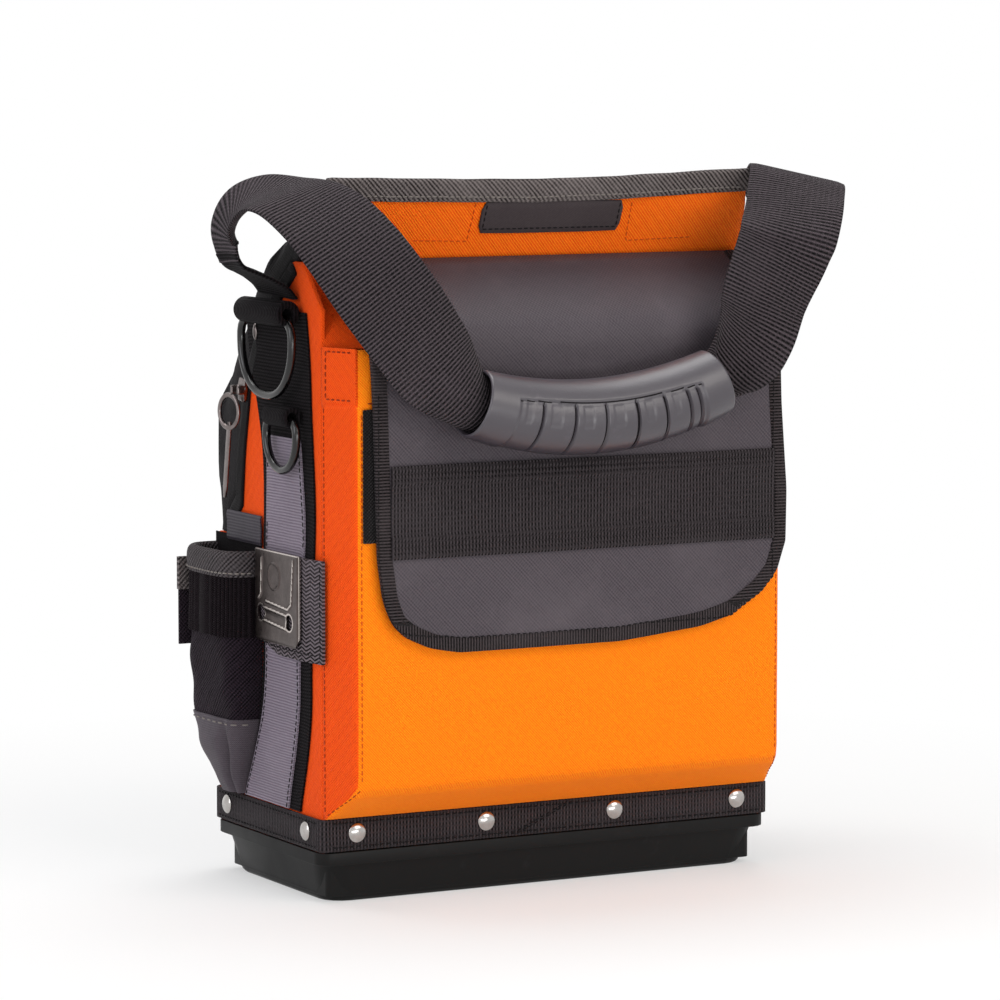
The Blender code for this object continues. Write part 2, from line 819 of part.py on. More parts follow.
# Strap routes: places as shares of the hinge reach, grip reach and body height,
# then the direction across the webbing and how far it curls
left_route_shares = (
    (1.000, -0.1821, 0.8915, 0.25, 0.97, 0.00, 1.15),
    (1.009, -0.1777, 0.9098, 0.42, 0.91, 0.00, 0.95),
    (1.019, -0.1821, 0.9317, 0.58, 0.81, 0.02, 0.70),
    (1.019, -0.2253, 0.9563, 0.70, 0.71, 0.06, 0.45),
    (0.994, -0.3290, 0.9795, 0.80, 0.57, 0.15, 0.20),
    (0.953, -0.4760, 0.9904, 0.88, 0.42, 0.22, 0.00),
    (0.916, -0.6062, 0.9809, 0.93, 0.22, 0.29, 0.00),
    (0.866, -0.7445, 0.9536, 0.92, 0.10, 0.36, 0.00),
    (0.810, -0.8396, 0.9139, 0.90, 0.00, 0.43, 0.00),
    (0.751, -0.8979, 0.8716, 0.87, -0.08, 0.50, 0.00),
    (0.679, -0.9265, 0.8265, 0.84, -0.06, 0.54, 0.00),
    (0.604, -0.9438, 0.7814, 0.80, 0.05, 0.58, 0.40),
    (0.545, -0.9179, 0.7432, 0.66, 0.10, 0.75, 1.20),
    (0.477, -0.9006, 0.7158, 0.45, 0.05, 0.89, 2.00),
    (0.408, -0.8979, 0.7011, 0.32, 0.00, 0.95, 2.30),
)
right_route_shares = (
    (1.000, -0.1821, 0.8915, 0.25, 0.97, 0.00, 1.15),
    (1.009, -0.1777, 0.9098, 0.42, 0.91, 0.00, 0.95),
    (1.019, -0.1821, 0.9344, 0.58, 0.81, 0.02, 0.70),
    (1.019, -0.2253, 0.9617, 0.70, 0.70, 0.06, 0.45),
    (1.000, -0.3290, 0.9863, 0.78, 0.60, 0.12, 0.20),
    (0.950, -0.4846, 1.0000, 0.81, 0.55, 0.20, 0.00),
    (0.885, -0.6494, 0.9986, 0.83, 0.51, 0.23, 0.00),
    (0.829, -0.7618, 0.9781, 0.84, 0.52, 0.15, 0.00),
    (0.779, -0.8574, 0.9549, 0.85, 0.51, 0.08, 0.00),
    (0.731, -0.9255, 0.9262, 0.90, 0.43, 0.12, 0.00),
    (0.704, -0.9282, 0.8978, 0.96, 0.21, 0.19, 0.00),
    (0.642, -0.9341, 0.8426, 0.96, 0.03, 0.27, 0.00),
    (0.589, -0.9309, 0.7923, 0.93, 0.00, 0.35, 0.40),
    (0.520, -0.9179, 0.7541, 0.72, 0.05, 0.66, 1.20),
    (0.452, -0.9006, 0.7295, 0.48, 0.05, 0.87, 2.00),
    (0.383, -0.8979, 0.7158, 0.32, 0.00, 0.95, 2.30),
)
handle_origin = (0.0, handle_hinge_y, handle_hinge_z)

# How far each strap is gathered where it leaves its sewn end, row by row
neck_shares = (1.0, 0.75, 0.40, 0.12)
neck_lean_share = 0.4
neck_trim_share = 0.10


def strap_solid(route, side):
    """A flat strap whose cross direction turns along the way and curls into the grip."""
    places = []
    for x, y, z, *_ in route:
        places.append(Vector((side * x * handle_hinge_x, y * grip_reach, z * height_unit)))
    fronts = []
    backs = []
    for i, row in enumerate(route):
        after = places[min(i + 1, len(places) - 1)]
        before = places[max(i - 1, 0)]
        run = (after - before).normalized()
        wide = Vector((-side * row[3], row[4], row[5]))
        wide = (wide - run * wide.dot(run)).normalized()
        normal = run.cross(wide).normalized() * -side
        curl = row[6]
        pinch_share = neck_shares[i] if i < len(neck_shares) else 0.0
        pinch = (strap_width - neck_width) / 2 * pinch_share
        half_width = strap_width / 2 - pinch
        front = []
        back = []
        for share in width_shares:
            angle = curl * share
            radius = half_width / curl if curl else 0.0
            across = radius * math.sin(angle) if curl else half_width * share
            across -= pinch * neck_lean_share
            sag = radius * (1 - math.cos(angle)) if curl else 0.0
            local = normal * math.cos(angle) - wide * math.sin(angle)
            spot = places[i] + wide * across + normal * sag
            front.append(spot + local * (strap_thickness / 2))
            back.append(spot - local * (strap_thickness / 2))
        fronts.append(front)
        backs.append(back)
    return slab(fronts, backs)


build("strap_left", strap_solid(left_route_shares, -1), grey_webbing, handle_origin, 40)
build("strap_right", strap_solid(right_route_shares, 1), grey_webbing, handle_origin, 40)

# Grip: a moulded tube with flared mouths and a grooved finger panel
grip_station_shares = (
    (-1.00, 1.00),
    (-0.985, 1.00),
    (-0.94, 0.93),
    (-0.86, 0.62),
    (-0.76, 0.25),
    (-0.68, 0.05),
)
groove_count = 6
groove_span_share = 1.0
groove_pitch_share = groove_span_share / (groove_count - 1)
groove_dip_shares = ((-0.05, 0.0), (-0.015, -1.0), (0.015, -1.0), (0.05, 0.0))
station_list = list(grip_station_shares)
for index in range(groove_count):
    middle = index * groove_pitch_share - groove_span_share / 2
    for offset, dip in groove_dip_shares:
        station_list.append((middle + offset, dip))
station_list += [(-share, flare) for share, flare in reversed(grip_station_shares)]
step_share = 0.01


def grip_centre(share):
    sag = grip_mid_z + grip_bow * share * share + grip_tilt * share
    return Vector((grip_x + grip_half_length * share, -grip_reach, sag))


def grip_ring(share, radius, steps=16):
    ahead = grip_centre(share + step_share) - grip_centre(share - step_share)
    along = ahead.normalized()
    front = Vector((0.0, -1.0, 0.0))
    up = along.cross(front).normalized()
    ring = []
    for i in range(steps):
        angle = math.tau * i / steps
        ring.append(grip_centre(share) + front * math.cos(angle) * radius + up * math.sin(angle) * radius)
    return ring


bore_share = grip_bore_depth / grip_half_length
grip_loops = [grip_ring(-1.0 + bore_share, grip_bore_radius - fabric), grip_ring(-1.0, grip_bore_radius)]
for share, flare in station_list:
    if flare >= 0.0:
        radius = grip_radius + (grip_mouth_radius - grip_radius) * flare
    else:
        radius = grip_radius + grip_groove * flare
    grip_loops.append(grip_ring(share, radius))
grip_loops += [grip_ring(1.0, grip_bore_radius), grip_ring(1.0 - bore_share, grip_bore_radius - fabric)]
build("grip", loft(grip_loops), grip_rubber, handle_origin, 40)

# Fixed lower ends of the handle straps, sewn to the side wall under the large loop
strap_end_shares = (
    (0.0, 0.0),
    (0.20, 0.30),
    (0.50, 0.66),
    (0.80, 0.88),
    (1.00, 1.00),
)
end_foot_x = band_in_x + strap_thickness + gap
end_head_x = handle_hinge_x - strap_thickness / 2 - gap * 2
end_foot_z = large_loop_z + large_loop_radius + gap * 2
end_head_z = handle_hinge_z + gap * 4
for tag, side in (("left", -1), ("right", 1)):
    fronts = []
    backs = []
    for out_share, up_share in strap_end_shares:
        x = end_foot_x + (end_head_x - end_foot_x) * out_share
        z = end_foot_z + (end_head_z - end_foot_z) * up_share
        pinch = (strap_width - neck_width) / 2 * up_share
        low_y = handle_hinge_y - strap_width / 2 + pinch * (1 - neck_lean_share)
        high_y = handle_hinge_y + strap_width / 2 - pinch * (1 + neck_lean_share)
        high_y -= neck_width * neck_trim_share * up_share
        rear_z = z - strap_thickness * 2 * up_share
        fronts.append([(side * x, low_y, z), (side * x, high_y, rear_z)])
        rise = strap_thickness * (1 - up_share)
        inner = x - strap_thickness * (0.35 + 0.65 * up_share)
        backs.append([(side * inner, low_y, z + rise), (side * inner, high_y, rear_z + rise)])
    build("strap_end_" + tag, slab(fronts, backs), grey_webbing)


# Zip tapes along the rear edge of the side panels
tape_inner = offset_path(zip_line, zip_tape_width)
tape_outline = [*zip_line, *reversed(tape_inner)]
strip_in_x = panel_out_x + gap
for tag, side in (("left", -1), ("right", 1)):
    build("zip_tape_" + tag, side_plate(tape_outline, side, strip_in_x, tape), zip_tape)


# Side wall strips, loops and rings
def strip_centre(z):
    low = tray_height
    share = (z - low) / (small_loop_z - low)
    return -strip_width * 0.03 + (small_loop_y + strip_width * 0.03 + strip_width * 0.07) * share


def strip_rear(z):
    return strip_centre(z) + strip_width / 2


def strip_plate(side, x_in, thickness, width, z_low, z_high):
    top_y = strip_centre(min(z_high, small_loop_z))
    low_y = strip_centre(z_low)
    outline = [
        (low_y - width / 2, z_low),
        (low_y + width / 2, z_low),
        (top_y + width / 2, min(z_high, small_loop_z)),
    ]
    if z_high > small_loop_z:
        outline.append((line_at(tape_inner, z_high) - gap, z_high))
        outline.append((large_loop_y - width / 2, z_high))
    outline.append((top_y - width / 2, min(z_high, small_loop_z)))
    return side_plate(outline, side, x_in, thickness)


strip_out_x = strip_in_x + tape
rib_in_x = strip_out_x + gap
rib_out_x = rib_in_x + trim


def ring_path(width, drop, wire):
    """A D outline in width and fall: straight bar on top, round bow below."""
    half = width / 2 - wire
    fall = drop - wire
    radius = fall * 0.62
    points = [(half, 0.0)]
    for i in range(7):
        angle = math.radians(-90 * i / 6)
        points.append((half - radius + radius * math.cos(angle), -(fall - radius) + radius * math.sin(angle)))
    points += [(-y, z) for y, z in reversed(points)]
    return points


def ring_object(name, side, x, y, z, width, drop):
    """A bent wire ring whose straight bar lies on its hinge."""
    line = ring_path(width, drop, ring_wire)
    loops = []
    count = len(line)
    for i in range(count):
        before = Vector(line[i - 1])
        here = Vector(line[i])
        after = Vector(line[(i + 1) % count])
        first = (here - before).normalized()
        second = (after - here).normalized()
        outward = Vector((first.y + second.y, -first.x - second.x)).normalized()
        stretch = 1 / max(outward.dot(Vector((first.y, -first.x))), 0.5)
        loop = []
        for j in range(8):
            angle = math.tau * j / 8
            shift = outward * (ring_wire * math.cos(angle) * stretch)
            lift = ring_wire * math.sin(angle)
            loop.append((side * x + lift, y + here.x + shift.x, z + here.y + shift.y))
        loops.append(loop)
    return build(name, loft(loops, closed=True), bright_steel, (side * x, y, z), 50)


def loop_object(name, side, x, y, z, width, outer):
    """Webbing rolled round the ring's bar and sewn to the wall by a tab."""
    bore = ring_wire + bore_clearance
    steps = 12
    loops = []
    for y_end in (y - width / 2, y + width / 2):
        for radius in (outer, bore) if y_end < y else (bore, outer):
            ring = []
            for i in range(steps):
                angle = math.tau * i / steps
                ring.append((side * (x + radius * math.cos(angle)), y_end, z + radius * math.sin(angle)))
            loops.append(ring)
    build(name, loft(loops, closed=True), black_webbing, (side * x, y, z), 50)


large_x = strip_out_x + gap + large_loop_radius
small_x = strip_out_x + gap + small_loop_radius
large_loop_width = large_ring_width - 4 * ring_wire - 4 * bore_clearance
small_loop_width = small_ring_width - 4 * ring_wire - 4 * bore_clearance
for tag, side in (("left", -1), ("right", 1)):
    outer = strip_plate(side, strip_in_x, tape, strip_width, band_top + gap, strip_top)
    build("side_webbing_" + tag, outer, black_webbing)
    inner = strip_plate(side, rib_in_x, trim, strip_rib_width, band_top + gap, strip_rib_top)
    build("side_rib_" + tag, inner, grey_webbing)
    large = (side, large_x, large_loop_y, large_loop_z)
    small = (side, small_x, small_loop_y, small_loop_z)
    ring_object("ring_large_" + tag, *large, large_ring_width, large_ring_drop)
    ring_object("ring_small_" + tag, *small, small_ring_width, small_ring_drop)
    loop_object("ring_loop_large_" + tag, *large, large_loop_width, large_loop_radius)
    loop_object("ring_loop_small_" + tag, *small, small_loop_width, small_loop_radius)

# Tape clip: pressed plate on a webbing base, left side only
clip_top = clip_bottom + clip_height
base_x = rib_out_x + gap
base_outline = [
    (clip_y + clip_width * 0.42, clip_bottom - trim * 6),
    (clip_y + clip_width * 0.42, clip_top),
    (-clip_webbing_depth, clip_top),
    (-clip_webbing_depth, clip_bottom - trim * 6),
]
build("clip_webbing", side_plate(base_outline, -1, base_x, tape), grey_webbing)
clip_x = base_x + tape + gap
half_clip = clip_width / 2
clip_corner = clip_width * 0.16
clip_shares = ((1.0, 1.0), (1.0, 0.28), (0.93, 0.10), (0.80, 0.0))
clip_points = [(clip_y + half_clip * a, clip_bottom + clip_height * b) for a, b in clip_shares]
clip_points += [(clip_y - half_clip * a, clip_bottom + clip_height * b) for a, b in reversed(clip_shares)]
bend_z = clip_bottom + clip_height * 0.72
clip_body = side_plate(clip_points, -1, clip_x + clip_standoff, clip_plate)
clip_object = build("tape_clip", clip_body, dark_steel)
foot_low = (-(clip_x + clip_standoff + clip_plate * 0.5), clip_y - half_clip * 0.8, bend_z)
foot_high = (-clip_x, clip_y + half_clip * 0.8, clip_top - clip_plate)
clip_foot = build("tape_clip_foot", block(foot_low, foot_high), dark_steel)
clip_foot.hide_render = True
clip_foot.display_type = "WIRE"
joined = clip_object.modifiers.new("foot", "BOOLEAN")
joined.operation = "UNION"
joined.object = clip_foot
joined.solver = "EXACT"
hole_shares = ((0.0, 0.17, 0.30, 0.62), (-0.46, 0.14, 0.08, 0.24), (0.46, 0.14, 0.08, 0.24))
for index, (centre_share, half_share, low_share, high_share) in enumerate(hole_shares):
    hole = []
    middle = clip_y + half_clip * centre_share
    for i in range(12):
        angle = math.tau * i / 12
        mid_z = clip_bottom + clip_height * (low_share + high_share) / 2
        y = middle + half_clip * half_share * math.cos(angle)
        z = mid_z + clip_height * (high_share - low_share) / 2 * math.sin(angle)
        hole.append((y, z))
    hole_solid = side_plate(hole, -1, clip_x - overrun, 2 * overrun + clip_standoff)
    hole_object = build(f"tape_clip_hole_{index}", hole_solid, dark_steel)
    subtract(clip_object, hole_object)


# Side pockets: open-topped shells standing out from the rear of each side wall
def side_pocket_loop(z, side, out, inset, grow=0.0, back=0.0):
    front = strip_rear(min(z, small_loop_z)) + trim + gap * 3 + inset - grow
    rear = side_pocket_rear - inset + grow
    taper = side_pocket_taper * out / side_pocket_out
    wall = panel_out_x + gap
    outer = wall + out - inset + grow
    radius = min(side_pocket_round, max(out - inset, gap) * 0.45)
    points = [(side * (wall - back), front, z)]
    corners = ((outer, front + taper), (outer, rear - taper * 0.3))
    anchors = ((wall - back, front), corners[1], corners[0], (wall - back, rear))
    for corner, before, after in ((corners[0], anchors[0], anchors[1]), (corners[1], anchors[2], anchors[3])):
        here = Vector(corner)
        begin = here + (Vector(before) - here).normalized() * radius
        end = here + (Vector(after) - here).normalized() * radius
        for i in range(4):
            share = i / 3
            spot = begin * (1 - share) ** 2 + here * 2 * share * (1 - share) + end * share**2
            points.append((side * spot.x, spot.y, z))
    points.append((side * (wall - back), rear, z))
    return points


pocket_rise = side_pocket_height - side_pocket_floor
pocket_shares = ((0.0, 0.22), (0.12, 0.55), (0.28, 0.84), (0.6, 1.0), (1.0, 1.0))
for tag, side in (("left", -1), ("right", 1)):
    outer_loops = []
    inner_loops = []
    for rise_share, out_share in pocket_shares:
        z = side_pocket_floor + pocket_rise * rise_share
        out = side_pocket_out * out_share
        outer_loops.append(side_pocket_loop(z, side, out, 0.0))
        z_in = z + side_pocket_wall if rise_share < 1.0 else z + overrun
        inner_loops.append(side_pocket_loop(z_in, side, out, side_pocket_wall, back=overrun))
    shell = build("side_pocket_" + tag, loft(outer_loops), black_nylon, smooth=30)
    hollow = build("side_pocket_hollow_" + tag, loft(inner_loops), black_nylon)
    subtract(shell, hollow)
    for name, z_low, z_high, inner_grow, outer_grow, look in (
        (
            "pocket_binding_",
            side_pocket_height + gap,
            side_pocket_height + gap + mouth_binding_height,
            -side_pocket_wall,
            binding_overlap,
            grey_webbing,
        ),
        (
            "pocket_elastic_",
            side_pocket_height - elastic_height - trim,
            side_pocket_height - trim,
            gap,
            gap + trim,
            black_webbing,
        ),
    ):
        ends = []
        for z in (z_low, z_high):
            outside = side_pocket_loop(z, side, side_pocket_out, 0.0, grow=outer_grow)
            inside = side_pocket_loop(z, side, side_pocket_out, 0.0, grow=inner_grow)
            ends.append([*outside, *reversed(inside)])
        build(name + tag, loft(ends), look)

# Satin band across the side wall between strip and zip, just above the pocket
satin_low = door_foot + gap
for tag, side in (("left", -1), ("right", 1)):
    satin_front = strip_rear(satin_low) + gap * 2
    satin_rear = min(zip_line[0][0], zip_line[1][0]) - zip_tape_width - gap * 4
    satin_outline = [
        (satin_front, satin_low),
        (satin_rear, satin_low),
        (satin_rear, satin_low + satin_height),
        (satin_front, satin_low + satin_height),
    ]
    build("satin_band_" + tag, side_plate(satin_outline, side, strip_in_x, trim), satin_tape)

# Slider and pull on the left zip
run_low = Vector(zip_line[2])
run_high = Vector(zip_line[3])
zip_run = (run_high - run_low).normalized()
zip_side = Vector((-zip_run.y, zip_run.x))
slider_at = run_low + (run_high - run_low) * slider_place_share + zip_side * (zip_tape_width * 0.45)
slider_in_x = strip_in_x + tape + gap
slider_points = []
slider_outline_shares = ((-0.5, -0.36), (-0.5, 0.36), (0.1, 0.5), (0.5, 0.36), (0.5, -0.36), (0.1, -0.5))
for along, across in slider_outline_shares:
    spot = slider_at + zip_run * (along * slider_length) + zip_side * (across * slider_width)
    slider_points.append((spot.x, spot.y))
slider_mesh = side_plate(slider_points, -1, slider_in_x, slider_height * 0.5)
slider = build("zip_slider", slider_mesh, dark_steel)
pin_x = slider_in_x + slider_height * 0.5 + ear_height * 0.55
pin_z = slider_at.y
ear_half_z = ear_height * 0.55
for index, direction in enumerate((-1, 1)):
    near = slider_at.x + direction * (pull_width * 0.5 + gap)
    far = near + direction * ear_thickness
    ear_low = (-(slider_in_x + slider_height * 0.5 + ear_height), min(near, far), pin_z - ear_half_z)
    ear_high = (-(slider_in_x + slider_height * 0.3), max(near, far), pin_z + ear_half_z)
    ear = build(f"zip_ear_{index}", block(ear_low, ear_high), dark_steel)
    ear.hide_render = True
    ear.display_type = "WIRE"
    join = slider.modifiers.new(f"ear_{index}", "BOOLEAN")
    join.operation = "UNION"
    join.object = ear
    join.solver = "EXACT"
pull_x = -(pin_x - pull_thickness / 2)
pull_half = pull_width / 2
pull_top = pin_z + pull_thickness / 2
pull_outline = [
    (slider_at.x - pull_half, pull_top),
    (slider_at.x + pull_half, pull_top),
    (slider_at.x + pull_half * 0.8, pull_top - pull_length * 0.9),
    (slider_at.x + pull_half * 0.4, pull_top - pull_length),
    (slider_at.x - pull_half * 0.4, pull_top - pull_length),
    (slider_at.x - pull_half * 0.8, pull_top - pull_length * 0.9),
]
pull_mesh = side_plate(pull_outline, -1, pin_x - pull_thickness / 2, pull_thickness)
build("zip_pull", pull_mesh, dark_steel, (-pin_x, slider_at.x, pin_z))
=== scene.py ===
import math
from contextlib import contextmanager

import bpy
import numpy as np
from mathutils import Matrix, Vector, noise
from mathutils.bvhtree import BVHTree


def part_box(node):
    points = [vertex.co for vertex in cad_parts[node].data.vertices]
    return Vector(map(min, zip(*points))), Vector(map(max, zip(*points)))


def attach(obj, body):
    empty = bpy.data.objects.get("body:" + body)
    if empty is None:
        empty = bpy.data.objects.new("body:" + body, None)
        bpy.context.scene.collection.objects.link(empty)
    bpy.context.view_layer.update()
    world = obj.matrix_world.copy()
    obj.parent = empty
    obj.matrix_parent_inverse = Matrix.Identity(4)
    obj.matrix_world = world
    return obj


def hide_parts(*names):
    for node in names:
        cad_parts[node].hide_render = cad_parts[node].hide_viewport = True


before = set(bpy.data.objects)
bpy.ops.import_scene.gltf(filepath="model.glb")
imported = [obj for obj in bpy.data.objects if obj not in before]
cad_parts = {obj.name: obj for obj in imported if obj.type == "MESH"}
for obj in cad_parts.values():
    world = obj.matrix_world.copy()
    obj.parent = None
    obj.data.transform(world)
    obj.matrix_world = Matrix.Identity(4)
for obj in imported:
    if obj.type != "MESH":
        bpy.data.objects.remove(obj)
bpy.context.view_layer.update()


# The studio: a plain white floor that keeps the pouch's soft shadow, a large soft box over the
# front, a wide low fill and a white surround. The camera stands where the photograph's stood,
# low and to the pouch's left, with a long lens.
def linear(code):
    """A colour written as sRGB hex, in linear values."""
    shares = [int(code[i : i + 2], 16) / 255 for i in (1, 3, 5)]
    bent = [s / 12.92 if s <= 0.04045 else ((s + 0.055) / 1.055) ** 2.4 for s in shares]
    return (*bent, 1.0)


class Tree:
    """A node tree, written short: each call adds one shader node and gives one of its outputs."""

    def __init__(self, tree):
        self.tree = tree

    def add(self, kind, links=None, out=0, **settings):
        """Any node, with its settings, its sockets' values and what feeds them."""
        node = self.tree.nodes.new("ShaderNode" + kind)
        for key, value in settings.items():
            setattr(node, key, value)
        for key, value in (links or {}).items():
            if isinstance(value, bpy.types.NodeSocket):
                self.tree.links.new(value, node.inputs[key])
            else:
                node.inputs[key].default_value = value
        return node.outputs[out] if node.outputs else None

    def maths(self, operation, first, second=0.5):
        return self.add("Math", {0: first, 1: second}, operation=operation)

    def ranged(self, value, low=0.0, high=1.0, to_low=0.0, to_high=1.0):
        return self.add("MapRange", {"Value": value, "From Min": low, "From Max": high,
                                     "To Min": to_low, "To Max": to_high})


def studio_tree(owner):
    """The empty tree of the surround or the floor, and which rays see their white: those from the
    camera, in a gloss or through something clear."""
    owner.use_nodes = True
    owner.node_tree.nodes.clear()
    tree = Tree(owner.node_tree)
    seen = tree.add("LightPath", out="Is Camera Ray")
    for ray in ("Is Glossy Ray", "Is Transmission Ray"):
        seen = tree.maths("MAXIMUM", seen, tree.add("LightPath", out=ray))
    return tree, seen


# where the camera looks, in radians to the right of straight on and below level
camera_turn, camera_dip = 0.494156, 0.100782
camera_data = bpy.data.cameras.new("camera")
camera_data.lens = 167.19
camera_data.sensor_width = 36.0
camera_data.clip_end = 50.0
camera = bpy.data.objects.new("camera", camera_data)
bpy.context.scene.collection.objects.link(camera)
camera.location = (-1.15441, -2.15175, 0.44229)
look = Vector((math.sin(camera_turn) * math.cos(camera_dip),
               math.cos(camera_turn) * math.cos(camera_dip), -math.sin(camera_dip)))
camera.rotation_euler = look.to_track_quat("-Z", "Y").to_euler()
bpy.context.scene.camera = camera
bpy.context.scene.view_settings.view_transform = "Standard"

# name, place, height it is aimed at, size, watts and colour
for name, place, aim, size, watts, code in (
        ("front", (0.55, -1.7, 1.35), 0.2, (1.4, 1.1), 15.5, "#fffaf4"),
        ("left", (-1.7, -0.4, 0.9), 0.2, (0.9, 1.2), 9.0, "#f8f8ff"),
        ("top", (0.0, 0.35, 1.9), 0.2, (1.6, 1.0), 19.0, "#ffffff"),
        ("low", (-0.2, -1.8, 0.12), 0.3, (1.6, 0.3), 8.5, "#ffffff")):
    lamp = bpy.data.lights.new("soft_box_" + name, "AREA")
    lamp.shape = "RECTANGLE"
    lamp.size, lamp.size_y = size
    lamp.energy = watts
    lamp.color = linear(code)[:3]
    holder = bpy.data.objects.new("soft_box_" + name, lamp)
    bpy.context.scene.collection.objects.link(holder)
    holder.location = place
    ray = Vector((0.0, 0.0, aim)) - Vector(place)
    holder.rotation_euler = ray.to_track_quat("-Z", "Y").to_euler()

world = bpy.data.worlds.new("white_surround")
bpy.context.scene.world = world
tree, seen = studio_tree(world)
strength = tree.ranged(seen, to_low=0.36)
sky = tree.add("Background", {"Color": linear("#ffffff"), "Strength": strength})
tree.add("OutputWorld", {"Surface": sky})

# Matt white paper: it keeps the shadow near the pouch and turns plain white further out.
bpy.ops.mesh.primitive_plane_add(size=14.0, location=(0.0, 0.0, -0.0002))
floor = bpy.context.object
floor.name = "studio_floor"
paper_look = bpy.data.materials.new("matt_white_paper")
tree, seen = studio_tree(paper_look)
reach = tree.add("VectorMath", {0: tree.add("TexCoord", out="Object")}, "Value", operation="LENGTH")
share = tree.maths("MULTIPLY", tree.ranged(reach, 0.25, 0.6, 0.45), seen)
paper = tree.add("BsdfDiffuse", {"Color": linear("#fbfbfb")})
white = tree.add("Emission", {"Color": linear("#ffffff"), "Strength": 1.0})
tree.add("OutputMaterial", {"Surface": tree.add("MixShader", {0: share, 1: paper, 2: white})})
floor.data.materials.append(paper_look)


# The base: a tray moulded in black polypropylene, with a flared skirt, a proud rim and a fine
# spark-eroded grain. Its edges are rounded as the mould rounds them, about 1 mm.
def pick(piece):
    """Selects one piece alone, for the operators that follow."""
    bpy.ops.object.select_all(action="DESELECT")
    bpy.context.view_layer.objects.active = piece
    piece.select_set(True)


def placed(name, mesh):
    """A new piece from a mesh, at the origin and selected alone."""
    piece = bpy.data.objects.new(name, mesh)
    bpy.context.scene.collection.objects.link(piece)
    pick(piece)
    return piece


def worked(piece, kind, **settings):
    """A modifier with its settings, applied to the selected piece."""
    step = piece.modifiers.new(kind, kind)
    for key, value in settings.items():
        setattr(step, key, value)
    bpy.ops.object.modifier_apply(modifier=step.name)


@contextmanager
def editing(kind="FACE", chosen=None):
    """The selected piece's mesh open for editing, with all of it selected, or only the points or
    faces that are chosen."""
    bpy.ops.object.mode_set(mode="EDIT")
    bpy.ops.mesh.select_mode(type=kind)
    bpy.ops.mesh.select_all(action="SELECT" if chosen is None else "DESELECT")
    if chosen is not None:
        bpy.ops.object.mode_set(mode="OBJECT")
        mesh = bpy.context.object.data
        (mesh.vertices if kind == "VERT" else mesh.polygons).foreach_set("select", chosen)
        bpy.ops.object.mode_set(mode="EDIT")
    yield
    bpy.ops.object.mode_set(mode="OBJECT")


def added(name):
    """The piece that a primitive has just made, its place and size taken into its points."""
    piece = bpy.context.object
    piece.name = name
    bpy.ops.object.transform_apply(location=True, rotation=True, scale=True)
    return piece


def face_out():
    """Points all faces of the selected piece outwards, and shades them smooth over soft edges."""
    with editing():
        bpy.ops.mesh.normals_make_consistent(inside=False)
    bpy.ops.object.shade_smooth_by_angle(angle=0.9)


def stands(piece, look, body="root", node=None):
    """A finished piece: its material, the body it rides on and the solid it stands for."""
    piece.data.materials.append(look)
    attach(piece, body)
    if node:
        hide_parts(node)
    return piece


def lengths(line):
    """How far along a line of points each of them lies."""
    return np.append(0.0, np.cumsum(np.linalg.norm(np.diff(line, axis=0), axis=1)))


def tube(count, ring, start=0):
    """The faces of a closed tube whose points run ring by ring from a first point."""
    last = start + (count - 1) * ring
    faces = [(a + turn, a + (turn + 1) % ring, a + (turn + 1) % ring + ring, a + turn + ring)
             for a in range(start, last, ring) for turn in range(ring)]
    return faces + [list(range(start, start + ring))[::-1], list(range(last, last + ring))]


def built(name, points, faces, spots=None):
    """A new piece from points and faces, with a weave map that has a spot for each point."""
    mesh = bpy.data.meshes.new(name)
    mesh.from_pydata(points, [], faces)
    if spots:
        layer = mesh.uv_layers.new(name="weave")
        for loop in mesh.loops:
            layer.data[loop.index].uv = spots[loop.vertex_index]
    mesh.update()
    return placed(name, mesh)


def cut(node, name, body="root", crease=0.8, levels=2, sharp=0.55, grid=()):
    """A merged copy of a solid whose edges are rounded, standing for it on its body. A grid of
    extra cuts, by axis and spacing, gives the cloth points to fold and press."""
    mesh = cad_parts[node].data.copy()
    mesh.materials.clear()
    piece = placed(name, mesh)
    with editing("EDGE"):
        bpy.ops.mesh.remove_doubles(threshold=0.00002)
        bpy.ops.mesh.tris_convert_to_quads(face_threshold=0.3, shape_threshold=1.2)
        low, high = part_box(node)
        for axis, step in grid:
            count = int((high[axis] - low[axis]) / step)
            for k in range(1, count + 1):
                spot = [0.0, 0.0, 0.0]
                spot[axis] = low[axis] + (high[axis] - low[axis]) * k / (count + 1)
                bpy.ops.mesh.select_all(action="SELECT")
                bpy.ops.mesh.bisect(plane_co=spot, plane_no=[float(i == axis) for i in range(3)])
        bpy.ops.mesh.select_all(action="DESELECT")
        bpy.ops.mesh.edges_select_sharp(sharpness=sharp)
        bpy.ops.transform.edge_crease(value=crease)
        bpy.ops.mesh.select_all(action="SELECT")
        bpy.ops.mesh.normals_make_consistent(inside=False)
    if levels:
        worked(piece, "SUBSURF", levels=levels, render_levels=levels)
    bpy.ops.object.shade_smooth()
    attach(piece, body)
    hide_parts(node)
    return piece


def edge_round(piece, width, segments=3, angle=0.5):
    """A bevel of a real radius on the sharp edges."""
    pick(piece)
    worked(piece, "BEVEL", width=width, segments=segments, limit_method="ANGLE", angle_limit=angle,
           harden_normals=False)
    bpy.ops.object.shade_smooth_by_angle(angle=0.7)


